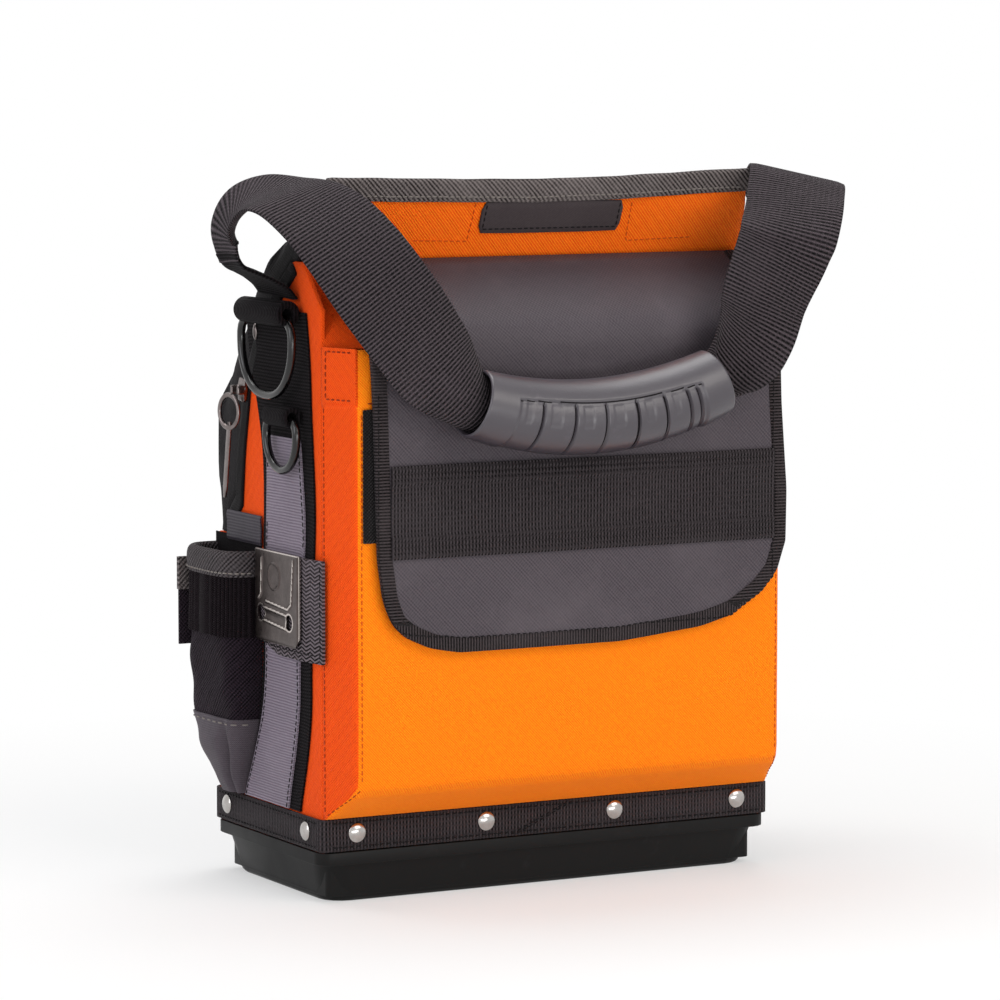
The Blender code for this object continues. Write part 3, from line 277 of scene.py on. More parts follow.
class Look(Tree):
    """A new material with a Principled shader, drawn in the object's coordinates."""

    def __init__(self, name):
        self.material = bpy.data.materials.new(name)
        self.material.use_nodes = True
        super().__init__(self.material.node_tree)
        self.place = self.add("TexCoord", out="Object")

    def noisy(self, scale, detail=2.0, rough=0.5, place=None, out=0):
        return self.add("TexNoise", {"Vector": place or self.place, "Scale": scale,
                                     "Detail": detail, "Roughness": rough}, out)

    def mixed(self, share, first, second, **settings):
        return self.add("MixRGB", {0: share, 1: first, 2: second}, **settings)

    def bump(self, height, strength, distance, **under):
        return self.add("Bump", {"Height": height, "Strength": strength, "Distance": distance,
                                 **under})

    def ridge(self, along, pitch):
        """A sine of the given pitch along one direction."""
        return self.maths("SINE", self.maths("MULTIPLY", along, 2 * math.pi / pitch))

    def shade(self, code, rough, drawn, plain):
        """The shader's plain colour and roughness, what draws its sockets, and plain values."""
        sockets = self.tree.nodes["Principled BSDF"].inputs
        for key, value in {"Base Color": linear(code), "Roughness": rough, **plain}.items():
            sockets[key].default_value = value
        for key, value in drawn.items():
            self.tree.links.new(value, sockets[key])
        return self.material


def moulded(name, code, worn, rough, grain, depth, specular=0.3):
    """Moulded plastic: a fine eroded grain, cloudy gloss and paler scuffs."""
    look = Look(name)
    rub = look.ranged(look.noisy(70.0, 8.0, 0.7), 0.58, 0.72, 0.0, 0.55)
    return look.shade(code, rough, {
        "Base Color": look.mixed(rub, linear(code), linear(worn)),
        "Roughness": look.ranged(look.noisy(22.0, 5.0), 0.3, 0.7, rough - 0.07, rough + 0.09),
        "Normal": look.bump(look.noisy(1 / grain, 3.0), 0.35, depth)},
        {"Specular IOR Level": specular})


# Polypropylene: near black with a dull, slightly cloudy gloss.
black_polypropylene = moulded("moulded_polypropylene", "#141414", "#242325", 0.45, 0.0011,
                              0.00012, specular=0.14)
tray = cut("base_tray", "tray_moulding", levels=0)
edge_round(tray, 0.0009)
tray.data.materials.append(black_polypropylene)


# The foot band: 17 mm black polyester webbing sewn round the body's foot, lapped at a slant on
# the front, and riveted through with domed nickel-plated steel rivets.
def read(rows, key, width=1, kind=float):
    """What a mesh's points, corners or faces hold, one to a row."""
    found = np.empty(len(rows) * width, dtype=kind)
    rows.foreach_get(key, found)
    return found.reshape(-1, width) if width > 1 else found


def settle(piece, field):
    """Moves each point of a finished mesh by what the field gives for all its places."""
    places = read(piece.data.vertices, "co", 3)
    places += field(places)
    piece.data.vertices.foreach_set("co", places.ravel())
    piece.data.update()


def lay_weave(piece, turned=False):
    """A flat map in metres on each face, by the side it faces, for the weave. The threads turn
    everywhere, or where a test of the places says so."""
    mesh = piece.data
    side = np.abs(read(mesh.polygons, "normal", 3)).argmax(axis=1)
    side = np.repeat(side, read(mesh.polygons, "loop_total", kind=int))
    points = read(mesh.vertices, "co", 3)[read(mesh.loops, "vertex_index", kind=int)]
    flat = np.take_along_axis(points, np.array([(1, 2), (0, 2), (0, 1)])[side], axis=1)
    swap = turned(points) if callable(turned) else np.full(len(points), turned)
    flat[swap] = flat[swap][:, ::-1]
    layer = mesh.uv_layers.new(name="weave")
    layer.data.foreach_set("uv", flat.ravel().astype(np.float32))


def sewn(node, name, look, body="root", swell=None, turned=False, **how):
    """A solid's copy in cloth: cut, swelled, its weave laid and its cloth chosen."""
    piece = cut(node, name, body, **how)
    if swell:
        settle(piece, swell)
    lay_weave(piece, turned)
    piece.data.materials.append(look)
    return piece


def woven(name, code, deep, rough, warp, weft, depth, twill=0.0, rib=0.0, sheen=0.03, wear=0.2,
          zigzag=0.0, specular=0.1):
    """Cloth of crossing threads: pitches in metres, drawn as coarse as they need to show, a twill
    share and a rib share, and the width of a herringbone's columns. The threads wander slightly,
    the hollows between them are darkened towards the deep colour as painted shade, the colour is
    cloudy, and use has paled some of it."""
    look = Look(name)
    drift = look.add("VectorMath", {0: look.noisy(60.0, out="Color"), 1: (0.5, 0.5, 0.5)},
                     operation="SUBTRACT")
    small = look.add("VectorMath", {0: drift, 3: 0.0006}, operation="SCALE")
    moved = look.add("VectorMath", {0: look.add("UVMap", uv_map="weave"), 1: small},
                     operation="ADD")
    across, along = (look.add("SeparateXYZ", {0: moved}, out=axis) for axis in (0, 1))
    second = look.ridge(along, weft)
    cross = look.maths("MULTIPLY", look.ridge(across, warp), second)
    lean = across
    if zigzag:
        lean = look.maths("MULTIPLY", look.maths("PINGPONG", across, zigzag), 0.45)
    slant = look.ridge(look.maths("ADD", lean, along), warp * 1.25)
    plain = look.add("Mix", {"Factor": rib, "A": cross, "B": second})
    level = look.ranged(look.add("Mix", {"Factor": twill, "A": plain, "B": slant}), -1.0)
    uneven = look.maths("MULTIPLY", look.noisy(900.0), 0.7)
    # painted light and shade of the weave: crests towards the plain colour, hollows towards the
    # deep colour
    lit = look.maths("ADD", look.ranged(level, 0.12, 0.88, -0.35, 0.65), uneven)
    base = look.mixed(lit, linear(deep), linear(code), use_clamp=True)
    pale = [min(1.0, value * 1.35 + 0.012) for value in linear(code)[:3]]
    paled = look.ranged(look.noisy(14.0, 6.0, 0.65), 0.50, 0.75, 0.0, wear)
    soft = look.bump(look.noisy(26.0, 3.0), 0.35, 0.0018)
    return look.shade(code, rough, {
        "Base Color": look.mixed(paled, base, (*pale, 1.0)),
        "Roughness": look.ranged(level, 0.0, 1.0, min(1.0, rough + 0.1), rough - 0.08),
        "Normal": look.bump(look.maths("ADD", level, uneven), 1.0, depth, Normal=soft)},
        {"Sheen Weight": sheen, "Sheen Roughness": 0.5, "Specular IOR Level": specular})


def thread(name, code):
    """Bonded polyester thread: a slight twist of darker and paler strands."""
    look = Look(name)
    dark = (*[value * 0.55 for value in linear(code)[:3]], 1.0)
    return look.shade(code, 0.6,
                      {"Base Color": look.mixed(look.noisy(2400.0, 1.0), linear(code), dark)},
                      {"Sheen Weight": 0.03, "Specular IOR Level": 0.12})


def stitches(name, lines, target, look, body="root", pitch=0.0034, length=0.0024, thick=0.0005):
    """Rows of sewn stitches: short rounded threads that lie on the target along the lines."""
    surface = BVHTree.FromPolygons([v.co.copy() for v in target.data.vertices],
                                   [tuple(p.vertices) for p in target.data.polygons])
    sink, sides, rings = 0.15, 6, ((-0.5, 0.35), (-0.36, 0.9), (0.0, 1.0), (0.36, 0.9), (0.5, 0.35))
    points = []
    faces = []
    for line in lines:
        spots = np.array(line, dtype=float)
        reach = lengths(spots)
        count = max(1, int(reach[-1] / pitch))
        for k in range(count):
            ends = [Vector([np.interp((k + 0.5) * reach[-1] / count + half, reach, spots[:, axis])
                            for axis in range(3)]) for half in (-length / 2, length / 2)]
            hit, normal, _, _ = surface.find_nearest((ends[0] + ends[1]) / 2)
            run = ends[1] - ends[0]
            run = (run - normal * run.dot(normal)).normalized()
            wide = normal.cross(run)
            start = len(points)
            for share, size in rings:
                lift = thick * (0.5 - sink) * (1 - 2.4 * share * share)
                centre = hit + run * (share * length) + normal * lift
                for turn in range(sides):
                    angle = math.tau * turn / sides
                    points.append(centre + (wide * math.cos(angle) + normal * math.sin(angle))
                                  * (thick * size / 1.3))
            faces += tube(len(rings), sides, start)
    piece = stands(built(name, points, faces), look, body)
    piece.data.shade_smooth()


# Webbing of black polyester: ribs across it that catch a little painted light, over hollows of
# painted shade.
black_webbing = woven("black_polyester_webbing", "#443e41", "#050303", 0.76, 0.0026, 0.0019, 0.0006,
                      rib=0.6)
# Black thread: matt, seen mostly by its shadow.
black_thread = thread("black_bonded_thread", "#171416")
foot_band = sewn("base_webbing", "foot_band", black_webbing, turned=True, crease=0.9, levels=1)
low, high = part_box("base_webbing")
inset = 0.006
rows = []
for z in (low.z + 0.0022, high.z - 0.0022):
    rows += [[(low.x + inset, y, z), (high.x - inset, y, z)] for y in (low.y, high.y)]
    rows += [[(x, low.y + inset, z), (x, high.y - inset, z)] for x in (low.x, high.x)]
# two slanted rows across the lap
rows += [[(start, low.y, low.z + 0.001), (start + 0.034, low.y, high.z - 0.001)]
         for start in (-0.0235, -0.0205)]
stitches("foot_band_stitches", rows, foot_band, black_thread, thick=0.0006)


def plated(name, code, dull, rough, scratch=0.35):
    """Plated or bare steel: bright, with hairline polishing marks and dulled patches."""
    look = Look(name)
    stretch = look.add("Mapping", {"Vector": look.place, "Scale": (1.0, 1.0, 0.12)})
    lines = look.noisy(2600.0, place=stretch)
    return look.shade(code, rough, {
        "Base Color": look.mixed(look.noisy(180.0, 5.0), linear(code), linear(dull)),
        "Roughness": look.ranged(lines, 0.3, 0.7, rough, rough + 0.12),
        "Normal": look.bump(lines, scratch, 0.00002)}, {"Metallic": 1.0})


# Nickel plate: bright domes that mirror the soft boxes.
nickel = plated("nickel_plated_steel", "#c9c6c3", "#8f8a86", 0.14)
for node in sorted(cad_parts):
    if node.startswith("rivet_"):
        dome = cut(node, node + "_head", crease=0.25, sharp=1.0)
        dome.data.materials.append(nickel)


# The body: orange coated polyester canvas, cut in panels and sewn. The tall centre panel is
# faced round its head, bound in grey twill and carries a bare sewn patch.
def waves(places, size, seed):
    """Smooth uneven waves from -1 to 1 at the places, about one to each size in metres."""
    shift = Vector((seed * 7.3, seed * 3.1, seed * 1.7))
    return np.array([noise.noise(Vector(place) / size + shift) for place in places])


def side_swell(places):
    """The side walls' slack cloth: up to a millimetre in or out, none at the foot or the head."""
    height = np.clip((places[:, 2] - 0.046) / 0.03, 0, 1)
    height *= np.clip((0.30 - places[:, 2]) / 0.05, 0, 1)
    out = np.sign(places[:, 0]) * (np.abs(places[:, 0]) > 0.125)
    wave = waves(places * (0.0, 1.0, 1.0), 0.045, 2.0)
    return np.stack([out * wave * height * 0.0009, wave * 0, wave * 0], axis=1)


def front_swell(places):
    """The front's slack cloth, the same for the pocket and for the flap that lies on it: long
    shallow folds that run down and in from the flap's corners, and a general unevenness."""
    x, y, z = places.T
    depth = np.zeros(len(places))
    for x0, z0, x1, z1, width, rise in (
            (-0.112, 0.135, -0.070, 0.062, 0.010, 0.9), (0.104, 0.150, 0.112, 0.060, 0.009, -0.8),
            (-0.100, 0.118, -0.112, 0.060, 0.008, -0.7), (0.060, 0.128, 0.108, 0.100, 0.012, 0.8),
            (-0.030, 0.125, -0.022, 0.060, 0.016, 0.5), (0.020, 0.240, -0.060, 0.150, 0.024, 0.5),
            (-0.090, 0.240, -0.040, 0.160, 0.020, -0.5), (0.085, 0.235, 0.060, 0.150, 0.018, 0.5)):
        run = np.array([x1 - x0, z1 - z0])
        reach = np.hypot(*run)
        run /= reach
        along = (x - x0) * run[0] + (z - z0) * run[1]
        beside = -(x - x0) * run[1] + (z - z0) * run[0]
        ends = np.clip(along / 0.02, 0, 1) * np.clip((reach - along) / 0.02, 0, 1)
        depth += rise * np.exp(-(beside / width) ** 2) * ends
    depth += waves(places * (1.0, 0.0, 1.0), 0.05, 5.0) * 0.6
    share = np.clip((-0.070 - y) / 0.012, 0, 1) * np.clip((z - 0.048) / 0.02, 0, 1)
    share *= np.clip((0.285 - z) / 0.03, 0, 1) * np.clip((0.128 - np.abs(x)) / 0.01, 0, 1)
    return np.stack([depth * 0, -np.clip(depth, -1.3, 1.3) * share * 0.0009, depth * 0], axis=1)


def cloth(name, rows, thick, look, levels=1, body="root", node=None, turned=False):
    """A sheet through rows of points, of even thickness, with its weave map in metres along the
    rows and down them. It stands for the node that is named."""
    grid = np.array(rows, dtype=float)
    count, columns = grid.shape[:2]
    faces = [(i, i + 1, i + columns + 1, i + columns)
             for i in range((count - 1) * columns) if (i + 1) % columns]
    across, down = lengths(grid[count // 2]), lengths(grid[:, columns // 2])
    spots = [(d, a) if turned else (a, d) for d in down for a in across]
    piece = built(name, grid.reshape(-1, 3), faces, spots)
    if levels:
        worked(piece, "SUBSURF", levels=levels, render_levels=levels,
               boundary_smooth="PRESERVE_CORNERS")
    worked(piece, "SOLIDIFY", thickness=thick, offset=0.0)
    face_out()
    return stands(piece, look, body, node)


# Coated canvas: a bright, matt orange with a fine slanted weave, in copies with painted light:
# yellower where the front is lit, redder with painted shade on the sides and in the facing.
orange = woven("orange_polyester_canvas", "#ff9a10", "#fa6408", 0.76, 0.0012, 0.0012, 0.0002,
               twill=0.5, wear=0.0)
# the side copy: redder, a painted shade, for the side walls, gussets, hem tabs and bellows corners
orange_painted_side_shade = woven("orange_canvas_painted_side_shade", "#ff6412", "#ec3c08", 0.76, 0.0013, 0.0013, 0.0003,
                    twill=0.4, wear=0.0)
# the facing copy: redder, a painted shade, for the centre panel
orange_painted_facing_shade = woven("orange_canvas_painted_facing_shade", "#ff8614", "#f6480a", 0.76, 0.0014, 0.0014, 0.00035,
                    twill=0.7, wear=0.0)
# The same canvas in black: dull, with paler rubbed patches.
black_canvas = woven("black_polyester_canvas", "#1d191c", "#080607", 0.74, 0.0014, 0.0014, 0.00025,
                     twill=0.3, sheen=0.05, wear=0.3)
# Orange thread: dashes a shade deeper than the canvas.
orange_thread = thread("orange_bonded_thread", "#e0560f")
side_grid = ((1, 0.009), (2, 0.009))
for tag in ("left", "right"):
    sewn("side_panel_" + tag, "side_panel_" + tag + "_cloth", orange_painted_side_shade, swell=side_swell,
         crease=0.85, levels=1, grid=side_grid)
for node, look in (("front_lower_panel", orange), ("back_panel", black_canvas)):
    sewn(node, node + "_cloth", look, swell=side_swell, crease=0.85)
centre = sewn("centre_panel", "centre_panel_cloth", orange_painted_facing_shade)
for side, tag in ((-1, "left"), (1, "right")):
    corner = [[(side * (0.1298 - 0.020 * t), -0.0630 - 0.016 * t + 0.022 * s,
                0.2835 + (0.042 - 0.026 * t) * s) for t in np.linspace(0, 1, 5)]
              for s in np.linspace(0, 1, 6)]
    cloth("bellows_corner_" + tag, corner, 0.0011, orange_painted_side_shade, levels=2)
facing_lines = (
    ((-0.0700, -0.044, 0.3358), (-0.0385, -0.044, 0.3347), (-0.0378, -0.048, 0.345),
     (-0.0376, -0.053, 0.3548)),
    ((0.0950, -0.043, 0.3345), (0.0558, -0.043, 0.3332), (0.0552, -0.048, 0.345),
     (0.0548, -0.053, 0.3535)))
stitches("facing_stitches", facing_lines, centre, orange_thread)

# Twill binding: grey with steep slanted ribs, and a darker one for the pockets' mouths.
grey_twill = woven("grey_twill_binding", "#7a7271", "#231e1e", 0.74, 0.0022, 0.0022, 0.0006,
                   twill=0.7, wear=0.3)
pocket_twill = woven("dark_twill_binding", "#5a5456", "#131011", 0.74, 0.0022, 0.0022, 0.0006,
                     twill=0.5, wear=0.3)
# Grey thread: pale dashes on the bindings.
grey_thread = thread("grey_bonded_thread", "#8d8681")
head_low, head_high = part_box("top_binding")
head_middle, head_y = (head_low.z + head_high.z) / 2, -0.0545


def head_swell(places):
    """The binding pressed thinner by its seam, uneven, and reaching further down the panel."""
    return np.stack([
        places[:, 0] * 0,
        -np.sign(places[:, 1] - head_y) * (0.0012 + 0.0006 * waves(places, 0.03, 3.0)),
        np.where(places[:, 2] < head_middle, -0.0035, 0.0008) + 0.0005 * waves(places, 0.02, 4.0)],
        axis=1)


head = sewn("top_binding", "top_binding_cloth", grey_twill, swell=head_swell, crease=0.45,
            grid=((0, 0.012),))
head_spots = read(head.data.vertices, "co", 3)
seam = []
for x in np.linspace(-0.119, 0.119, 60):
    near = head_spots[np.abs(head_spots[:, 0] - x) < 0.006]
    seam.append((x, near[:, 1].min(), near[:, 2].min() + 0.0024))
stitches("top_binding_stitches", [seam], head, grey_thread, thick=0.0006)

# Coated patch: smooth charcoal with a soft gloss.
patch_look = woven("black_coated_patch", "#473f41", "#352f31", 0.46, 0.0009, 0.0009, 0.00004,
                   sheen=0.02, wear=0.15)
patch = sewn("label_patch", "label_patch_cloth", patch_look, crease=0.93)
low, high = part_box("label_patch")
left, right, foot, top = low.x + 0.0022, high.x - 0.0022, low.z + 0.0025, high.z - 0.002
patch_frame = ((left, -0.0550, top), (left, -0.0480, foot), (right, -0.0480, foot),
               (right, -0.0550, top))
stitches("patch_stitches", [patch_frame], patch, black_thread)


# The rear door: black canvas over the back and the roof, closed by a coil zip that follows the
# side panels' rear edge. The slider is dark zinc with a ring and a long thin pull.
sewn("rear_door", "rear_door_cloth", black_canvas, body="rear_door", crease=0.6)
# Zip tape: flat black polyester with no gloss.
zip_cloth = woven("zip_tape_polyester", "#191618", "#070506", 0.75, 0.0012, 0.0012, 0.0002,
                  rib=0.5, twill=0.6, sheen=0.04, wear=0.15)
for tag in ("left", "right"):
    sewn("zip_tape_" + tag, "zip_tape_cloth_" + tag, zip_cloth, swell=side_swell, crease=0.9,
         levels=1, grid=((2, 0.008),))
# Dulled zinc: warm grey metal with soft reflections.
zinc = plated("dulled_zinc_plate", "#8d8482", "#564e4d", 0.24)
slider = cut("zip_slider", "zip_slider_zinc", "zip_slider_body", crease=0.6)
slider.data.materials.append(zinc)
ring_place = (-0.1385, 0.0305, 0.2455)
bpy.ops.mesh.primitive_torus_add(major_radius=0.0072, minor_radius=0.0011, major_segments=40,
                                 minor_segments=12, location=ring_place,
                                 rotation=(0.0, math.pi / 2, math.radians(18)))
pull_ring = added("zip_pull_ring")
with editing():
    bpy.ops.transform.resize(value=(1.0, 1.0, 1.2), center_override=ring_place)
bpy.ops.object.shade_smooth()
pull_x, pull_y = -0.1380, 0.0345
bpy.ops.mesh.primitive_cube_add(size=1.0, location=(pull_x, pull_y, 0.2200),
                                scale=(0.0013, 0.0042, 0.0400))
pull = added("zip_pull_bar")
with editing():
    for height in (0.2360, 0.2060):
        bpy.ops.mesh.select_all(action="SELECT")
        bpy.ops.mesh.bisect(plane_co=(pull_x, pull_y, height), plane_no=(0, 0, 1))
for corner in pull.data.vertices:
    # both ends taper, and the bar leans back from the ring
    taper = 0.45 if corner.co.z < 0.2005 else 0.6 if corner.co.z > 0.2395 else 1.0
    corner.co.y = pull_y + (corner.co.y - pull_y) * taper
    corner.co.y += (0.2400 - corner.co.z) * 0.16 - 0.0035
edge_round(pull, 0.0004)
stands(pull_ring, zinc, "zip_pull_body")
stands(pull, zinc, "zip_pull_body", "zip_pull")


# The front pocket: a bellows of the same canvas with mitred gussets, a folded hem round its
# mouth, and a strip of hook tape down its left side that the flap closes on.
bellows = sewn("front_pocket", "front_pocket_cloth", orange, swell=front_swell, crease=0.55,
               levels=1, grid=((0, 0.008), (1, 0.007), (2, 0.008)))
# the gusset faces, which face sideways, take the side copy with its painted shade
bellows.data.materials.append(orange_painted_side_shade)
for face in bellows.data.polygons:
    if abs(face.normal.x) > 0.6:
        face.material_index = 1
# Hook tape: a rough black pile that swallows the light.
hook_look = woven("black_hook_tape", "#1b1719", "#030202", 0.8, 0.0018, 0.0018, 0.0009, sheen=0.1,
                  wear=0.4)
sewn("hook_strip", "hook_tape", hook_look, swell=front_swell, crease=0.9, levels=1,
     grid=((0, 0.006), (2, 0.006)))
# Dark thread: rust-brown dashes on the gussets and the hem.
dark_thread = thread("dark_bonded_thread", "#a83610")
tab_foot, tab_top = 0.2585, 0.2825
# the right tab is tucked in further, behind the flap's edge
for side, tag, reach in ((-1, "left", 1.0), (1, "right", 0.6)):
    tab = [[(side * (0.1310 - 0.0078 * max(0.0, t - 0.12)), -0.0652 - 0.0235 * t, z)
            for t in np.linspace(0, reach, 6)] for z in np.linspace(0.2567, 0.2845, 6)]
    hem_tab = cloth("hem_tab_" + tag, tab, 0.0012, orange_painted_side_shade, levels=2)
    rear_x, front_x, front_y = side * 0.1320, side * 0.1270, -0.0645 - 0.022 * reach
    rim = [(rear_x, -0.0685, tab_foot), (rear_x, -0.0685, tab_top), (front_x, front_y, tab_top)]
    foot = [(rear_x, -0.0685, tab_foot), (front_x, front_y, tab_foot)]
    stitches("hem_tab_stitches_" + tag, [rim, foot], hem_tab, dark_thread, thick=0.00055)
    seam = [(side * 0.1300, -0.0642, z) for z in (0.254, 0.048)]
    edge = [(side * 0.1215, -0.0888, z) for z in (0.252, 0.066)]
    toe = [(side * 0.1299, -0.0655, 0.0465), (side * 0.1260, -0.0765, 0.0540),
           (side * 0.1218, -0.0877, 0.0621)]
    stitches("pocket_seam_stitches_" + tag, [seam, toe], bellows, dark_thread, thick=0.0004)
    stitches("pocket_edge_stitches_" + tag, [edge], bellows, orange_thread, thick=0.0004)
stitches("pocket_hem_stitches", [[(x, -0.0903, 0.2572) for x in (-0.119, 0.119)]], bellows,
         dark_thread)


# The flap: dark grey coated twill, bound all round in ribbed tape and crossed by a wide band of
# black webbing. It turns on its seam at the centre panel.
def under_binding(places):
    """The flap's rim reaches 3 mm under its binding."""
    return np.stack([
        np.sign(places[:, 0]) * 0.0030 * np.clip((np.abs(places[:, 0]) - 0.060) / 0.040, 0, 1),
        places[:, 1] * 0,
        -0.0032 * np.clip((0.170 - places[:, 2]) / 0.025, 0, 1)], axis=1)


# Coated twill: plum grey, with a satin sheen and the weave only just showing.
flap_look = woven("grey_coated_twill", "#544d52", "#39333a", 0.5, 0.0019, 0.0019, 0.00014,
                  twill=0.35, sheen=0.02, wear=0.4, specular=0.2)
# Ribbed binding: black with fine ribs across the edge.
tape_look = woven("black_ribbed_binding", "#443d3f", "#060404", 0.76, 0.0026, 0.0016, 0.0005,
                  rib=0.8, wear=0.3)
flap = cut("flap", "flap_cloth", "flap", levels=1, grid=((0, 0.008), (2, 0.008)))
pick(flap)
x, _, z = read(flap.data.vertices, "co", 3).T
with editing("VERT", (np.abs(x) < 0.100) & (z > 0.235) & (z < 0.318)):
    bpy.ops.mesh.vertices_smooth(factor=0.5, repeat=40)
settle(flap, front_swell)
settle(flap, under_binding)
lay_weave(flap)
flap.data.materials.append(flap_look)
edging = sewn("flap_binding", "flap_binding_tape", tape_look, body="flap", swell=front_swell,
              turned=lambda places: (places[:, 2] < 0.146) | (places[:, 2] > 0.322),
              crease=0.5, grid=((0, 0.012), (2, 0.012)))
low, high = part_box("flap_webbing")
# the band's ribs stand up in three rows at its head and four at its foot
ribs = [high.z - d for d in (0.0022, 0.0052, 0.0082)]
ribs += [low.z + d for d in (0.0020, 0.0048, 0.0076, 0.0104)]
band_rows = []
for z in np.linspace(low.z, high.z, 80):
    rise = sum(math.exp(-((z - rib) / 0.0008) ** 2) for rib in ribs)
    band_y = low.y + 0.0004 - 0.0009 * rise
    band_rows.append([(x, band_y, z) for x in np.linspace(low.x, high.x, 36)])
wide_band = cloth("flap_webbing_band", band_rows, 0.0012, black_webbing, body="flap",
                  node="flap_webbing", turned=True)
settle(wide_band, front_swell)
inner, rim_y, bend_z, bend = 0.0088, -0.0943, 0.156, np.linspace(0.15, math.pi / 2, 10)
low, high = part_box("flap_binding")
rim_line = [(low.x + inner - 0.0006, rim_y, z) for z in (0.262, bend_z)]
rim_line += [(low.x + inner + 0.024 * (1 - math.cos(a)), rim_y, bend_z - 0.0165 * math.sin(a))
             for a in bend]
rim_line += [(x, rim_y, low.z + inner) for x in (-0.082, 0.082)]
rim_line += [(high.x - inner - 0.024 * (1 - math.sin(a)), rim_y, bend_z - 0.0165 * math.cos(a))
             for a in bend]
rim_line += [(high.x - inner, rim_y, z) for z in (0.158, 0.262)]
stitches("flap_binding_stitches", [rim_line], edging, black_thread, body="flap")


# The side walls: a black webbing strip with a grey grosgrain face, and rolled webbing loops that
# hold two dark D-rings, the large one above the small one.
# Grosgrain: pale grey-violet ribs with a slight silk. Strip webbing: near black, dull, darker
# than the front's webbing as painted shade for the side walls.
grosgrain = woven("grey_grosgrain", "#8c828e", "#6c626f", 0.6, 0.0030, 0.0015, 0.0002, rib=0.95,
                  sheen=0.05, wear=0.25)
strip_black_painted_shade = woven("black_strip_webbing_painted_shade", "#1c181b", "#030202", 0.78, 0.0024, 0.0018, 0.0004,
                    rib=0.7, sheen=0.02, wear=0.15, specular=0.05)
# Lacquered steel: black and glossy, with sharp small highlights.
lacquer = moulded("black_lacquered_steel", "#0b0a0b", "#1c1a1b", 0.2, 0.0006, 0.00001, specular=0.5)
# height, front edge and rear edge
strip_edges = (
    (0.3005, -0.0470, 0.0225), (0.2820, -0.0500, 0.0210), (0.2571, -0.0530, 0.0120),
    (0.2330, -0.0548, 0.0040), (0.2100, -0.0560, 0.0010), (0.1866, -0.0565, 0.0030),
    (0.1500, -0.0545, 0.0045), (0.1222, -0.0515, 0.0045), (0.1045, -0.0520, 0.0060),
    (0.0888, -0.0500, 0.0095), (0.0674, -0.0450, 0.0190), (0.0513, -0.0400, 0.0250),
    (0.0450, -0.0385, 0.0270))
face_edges = (
    (0.2360, -0.0425, -0.0040), (0.2310, -0.0438, -0.0035), (0.2108, -0.0455, -0.0050),
    (0.1857, -0.0488, -0.0030), (0.1500, -0.0450, -0.0010), (0.1209, -0.0408, -0.0010),
    (0.1030, -0.0411, 0.0004), (0.0872, -0.0382, 0.0040), (0.0657, -0.0330, 0.0140),
    (0.0520, -0.0290, 0.0215), (0.0452, -0.0275, 0.0240))
for side, tag in ((-1, "left"), (1, "right")):
    rows = [[(side * (0.1316 + 0.0002 * math.sin(3 * t)), front + (rear - front) * t, z)
             for t in np.linspace(0, 1, 8)] for z, front, rear in strip_edges]
    strip = cloth("side_strip_" + tag, rows, 0.0010, strip_black_painted_shade, levels=2,
                  node="side_webbing_" + tag)
    rows = [[(side * 0.1330, front + (rear - front) * t, z) for t in np.linspace(0, 1, 8)]
            for z, front, rear in face_edges]
    face = cloth("side_grosgrain_" + tag, rows, 0.0010, grosgrain, levels=2, node="side_rib_" + tag)
    for piece in (strip, face):
        settle(piece, side_swell)
    edges = [[(side * 0.1332, front + 0.0016, z) for z, front, rear in reversed(face_edges)],
             [(side * 0.1332, rear - 0.0016, z) for z, front, rear in reversed(face_edges)]]
    stitches("side_strip_stitches_" + tag, edges, face, black_thread, thick=0.00045)
    bpy.ops.mesh.primitive_uv_sphere_add(segments=24, ring_count=12, radius=0.0032,
                                         location=(side * 0.1326, 0.0105, 0.2880),
                                         scale=(0.4, 0.62, 1.35))
    stands(added("strip_bartack_" + tag), zinc)
    bpy.ops.object.shade_smooth()
    for size in ("large_", "small_"):
        sewn("ring_loop_" + size + tag, "rolled_loop_" + size + tag, strip_black_painted_shade, turned=True,
             crease=0.6)
        ring = cut("ring_" + size + tag, "d_ring_" + size + tag, "ring_" + size + tag + "_body",
                   crease=0.0)
        ring.data.materials.append(lacquer)


# The tape clip: a plate pressed from spring steel, with grooves, a ring and a pair of rivet holes,
# on a folded base of grey chevron webbing that is sewn into the side seam.
# Chevron webbing: grey zigzags on black, with no gloss.
chevron = woven("grey_chevron_webbing", "#7a7076", "#080606", 0.76, 0.0016, 0.0018, 0.0008,
                rib=0.1, twill=1.0, sheen=0.02, zigzag=0.0040)
base_top = 0.1765
base_rows = []
for t in np.linspace(0, 1, 14):
    y = -0.0010 - 0.0665 * t
    x = -0.1349 + 0.0026 * max(0.0, (t - 0.72) / 0.28)
    foot = 0.1305 - 0.0065 * min(1.0, t / 0.3)
    base_rows.append([(x, y, foot + (base_top - foot) * s) for s in np.linspace(0, 1, 8)])
base_strap = cloth("clip_webbing_base", base_rows, 0.0017, chevron, levels=2, node="clip_webbing",
                   turned=True)
base_lines = (((-0.1330, -0.0655, 0.127), (-0.1330, -0.0655, 0.174)),
              ((-0.1356, -0.012, 0.1280), (-0.1356, -0.060, 0.1280)))
stitches("clip_webbing_stitches", base_lines, base_strap, black_thread, thick=0.00045)
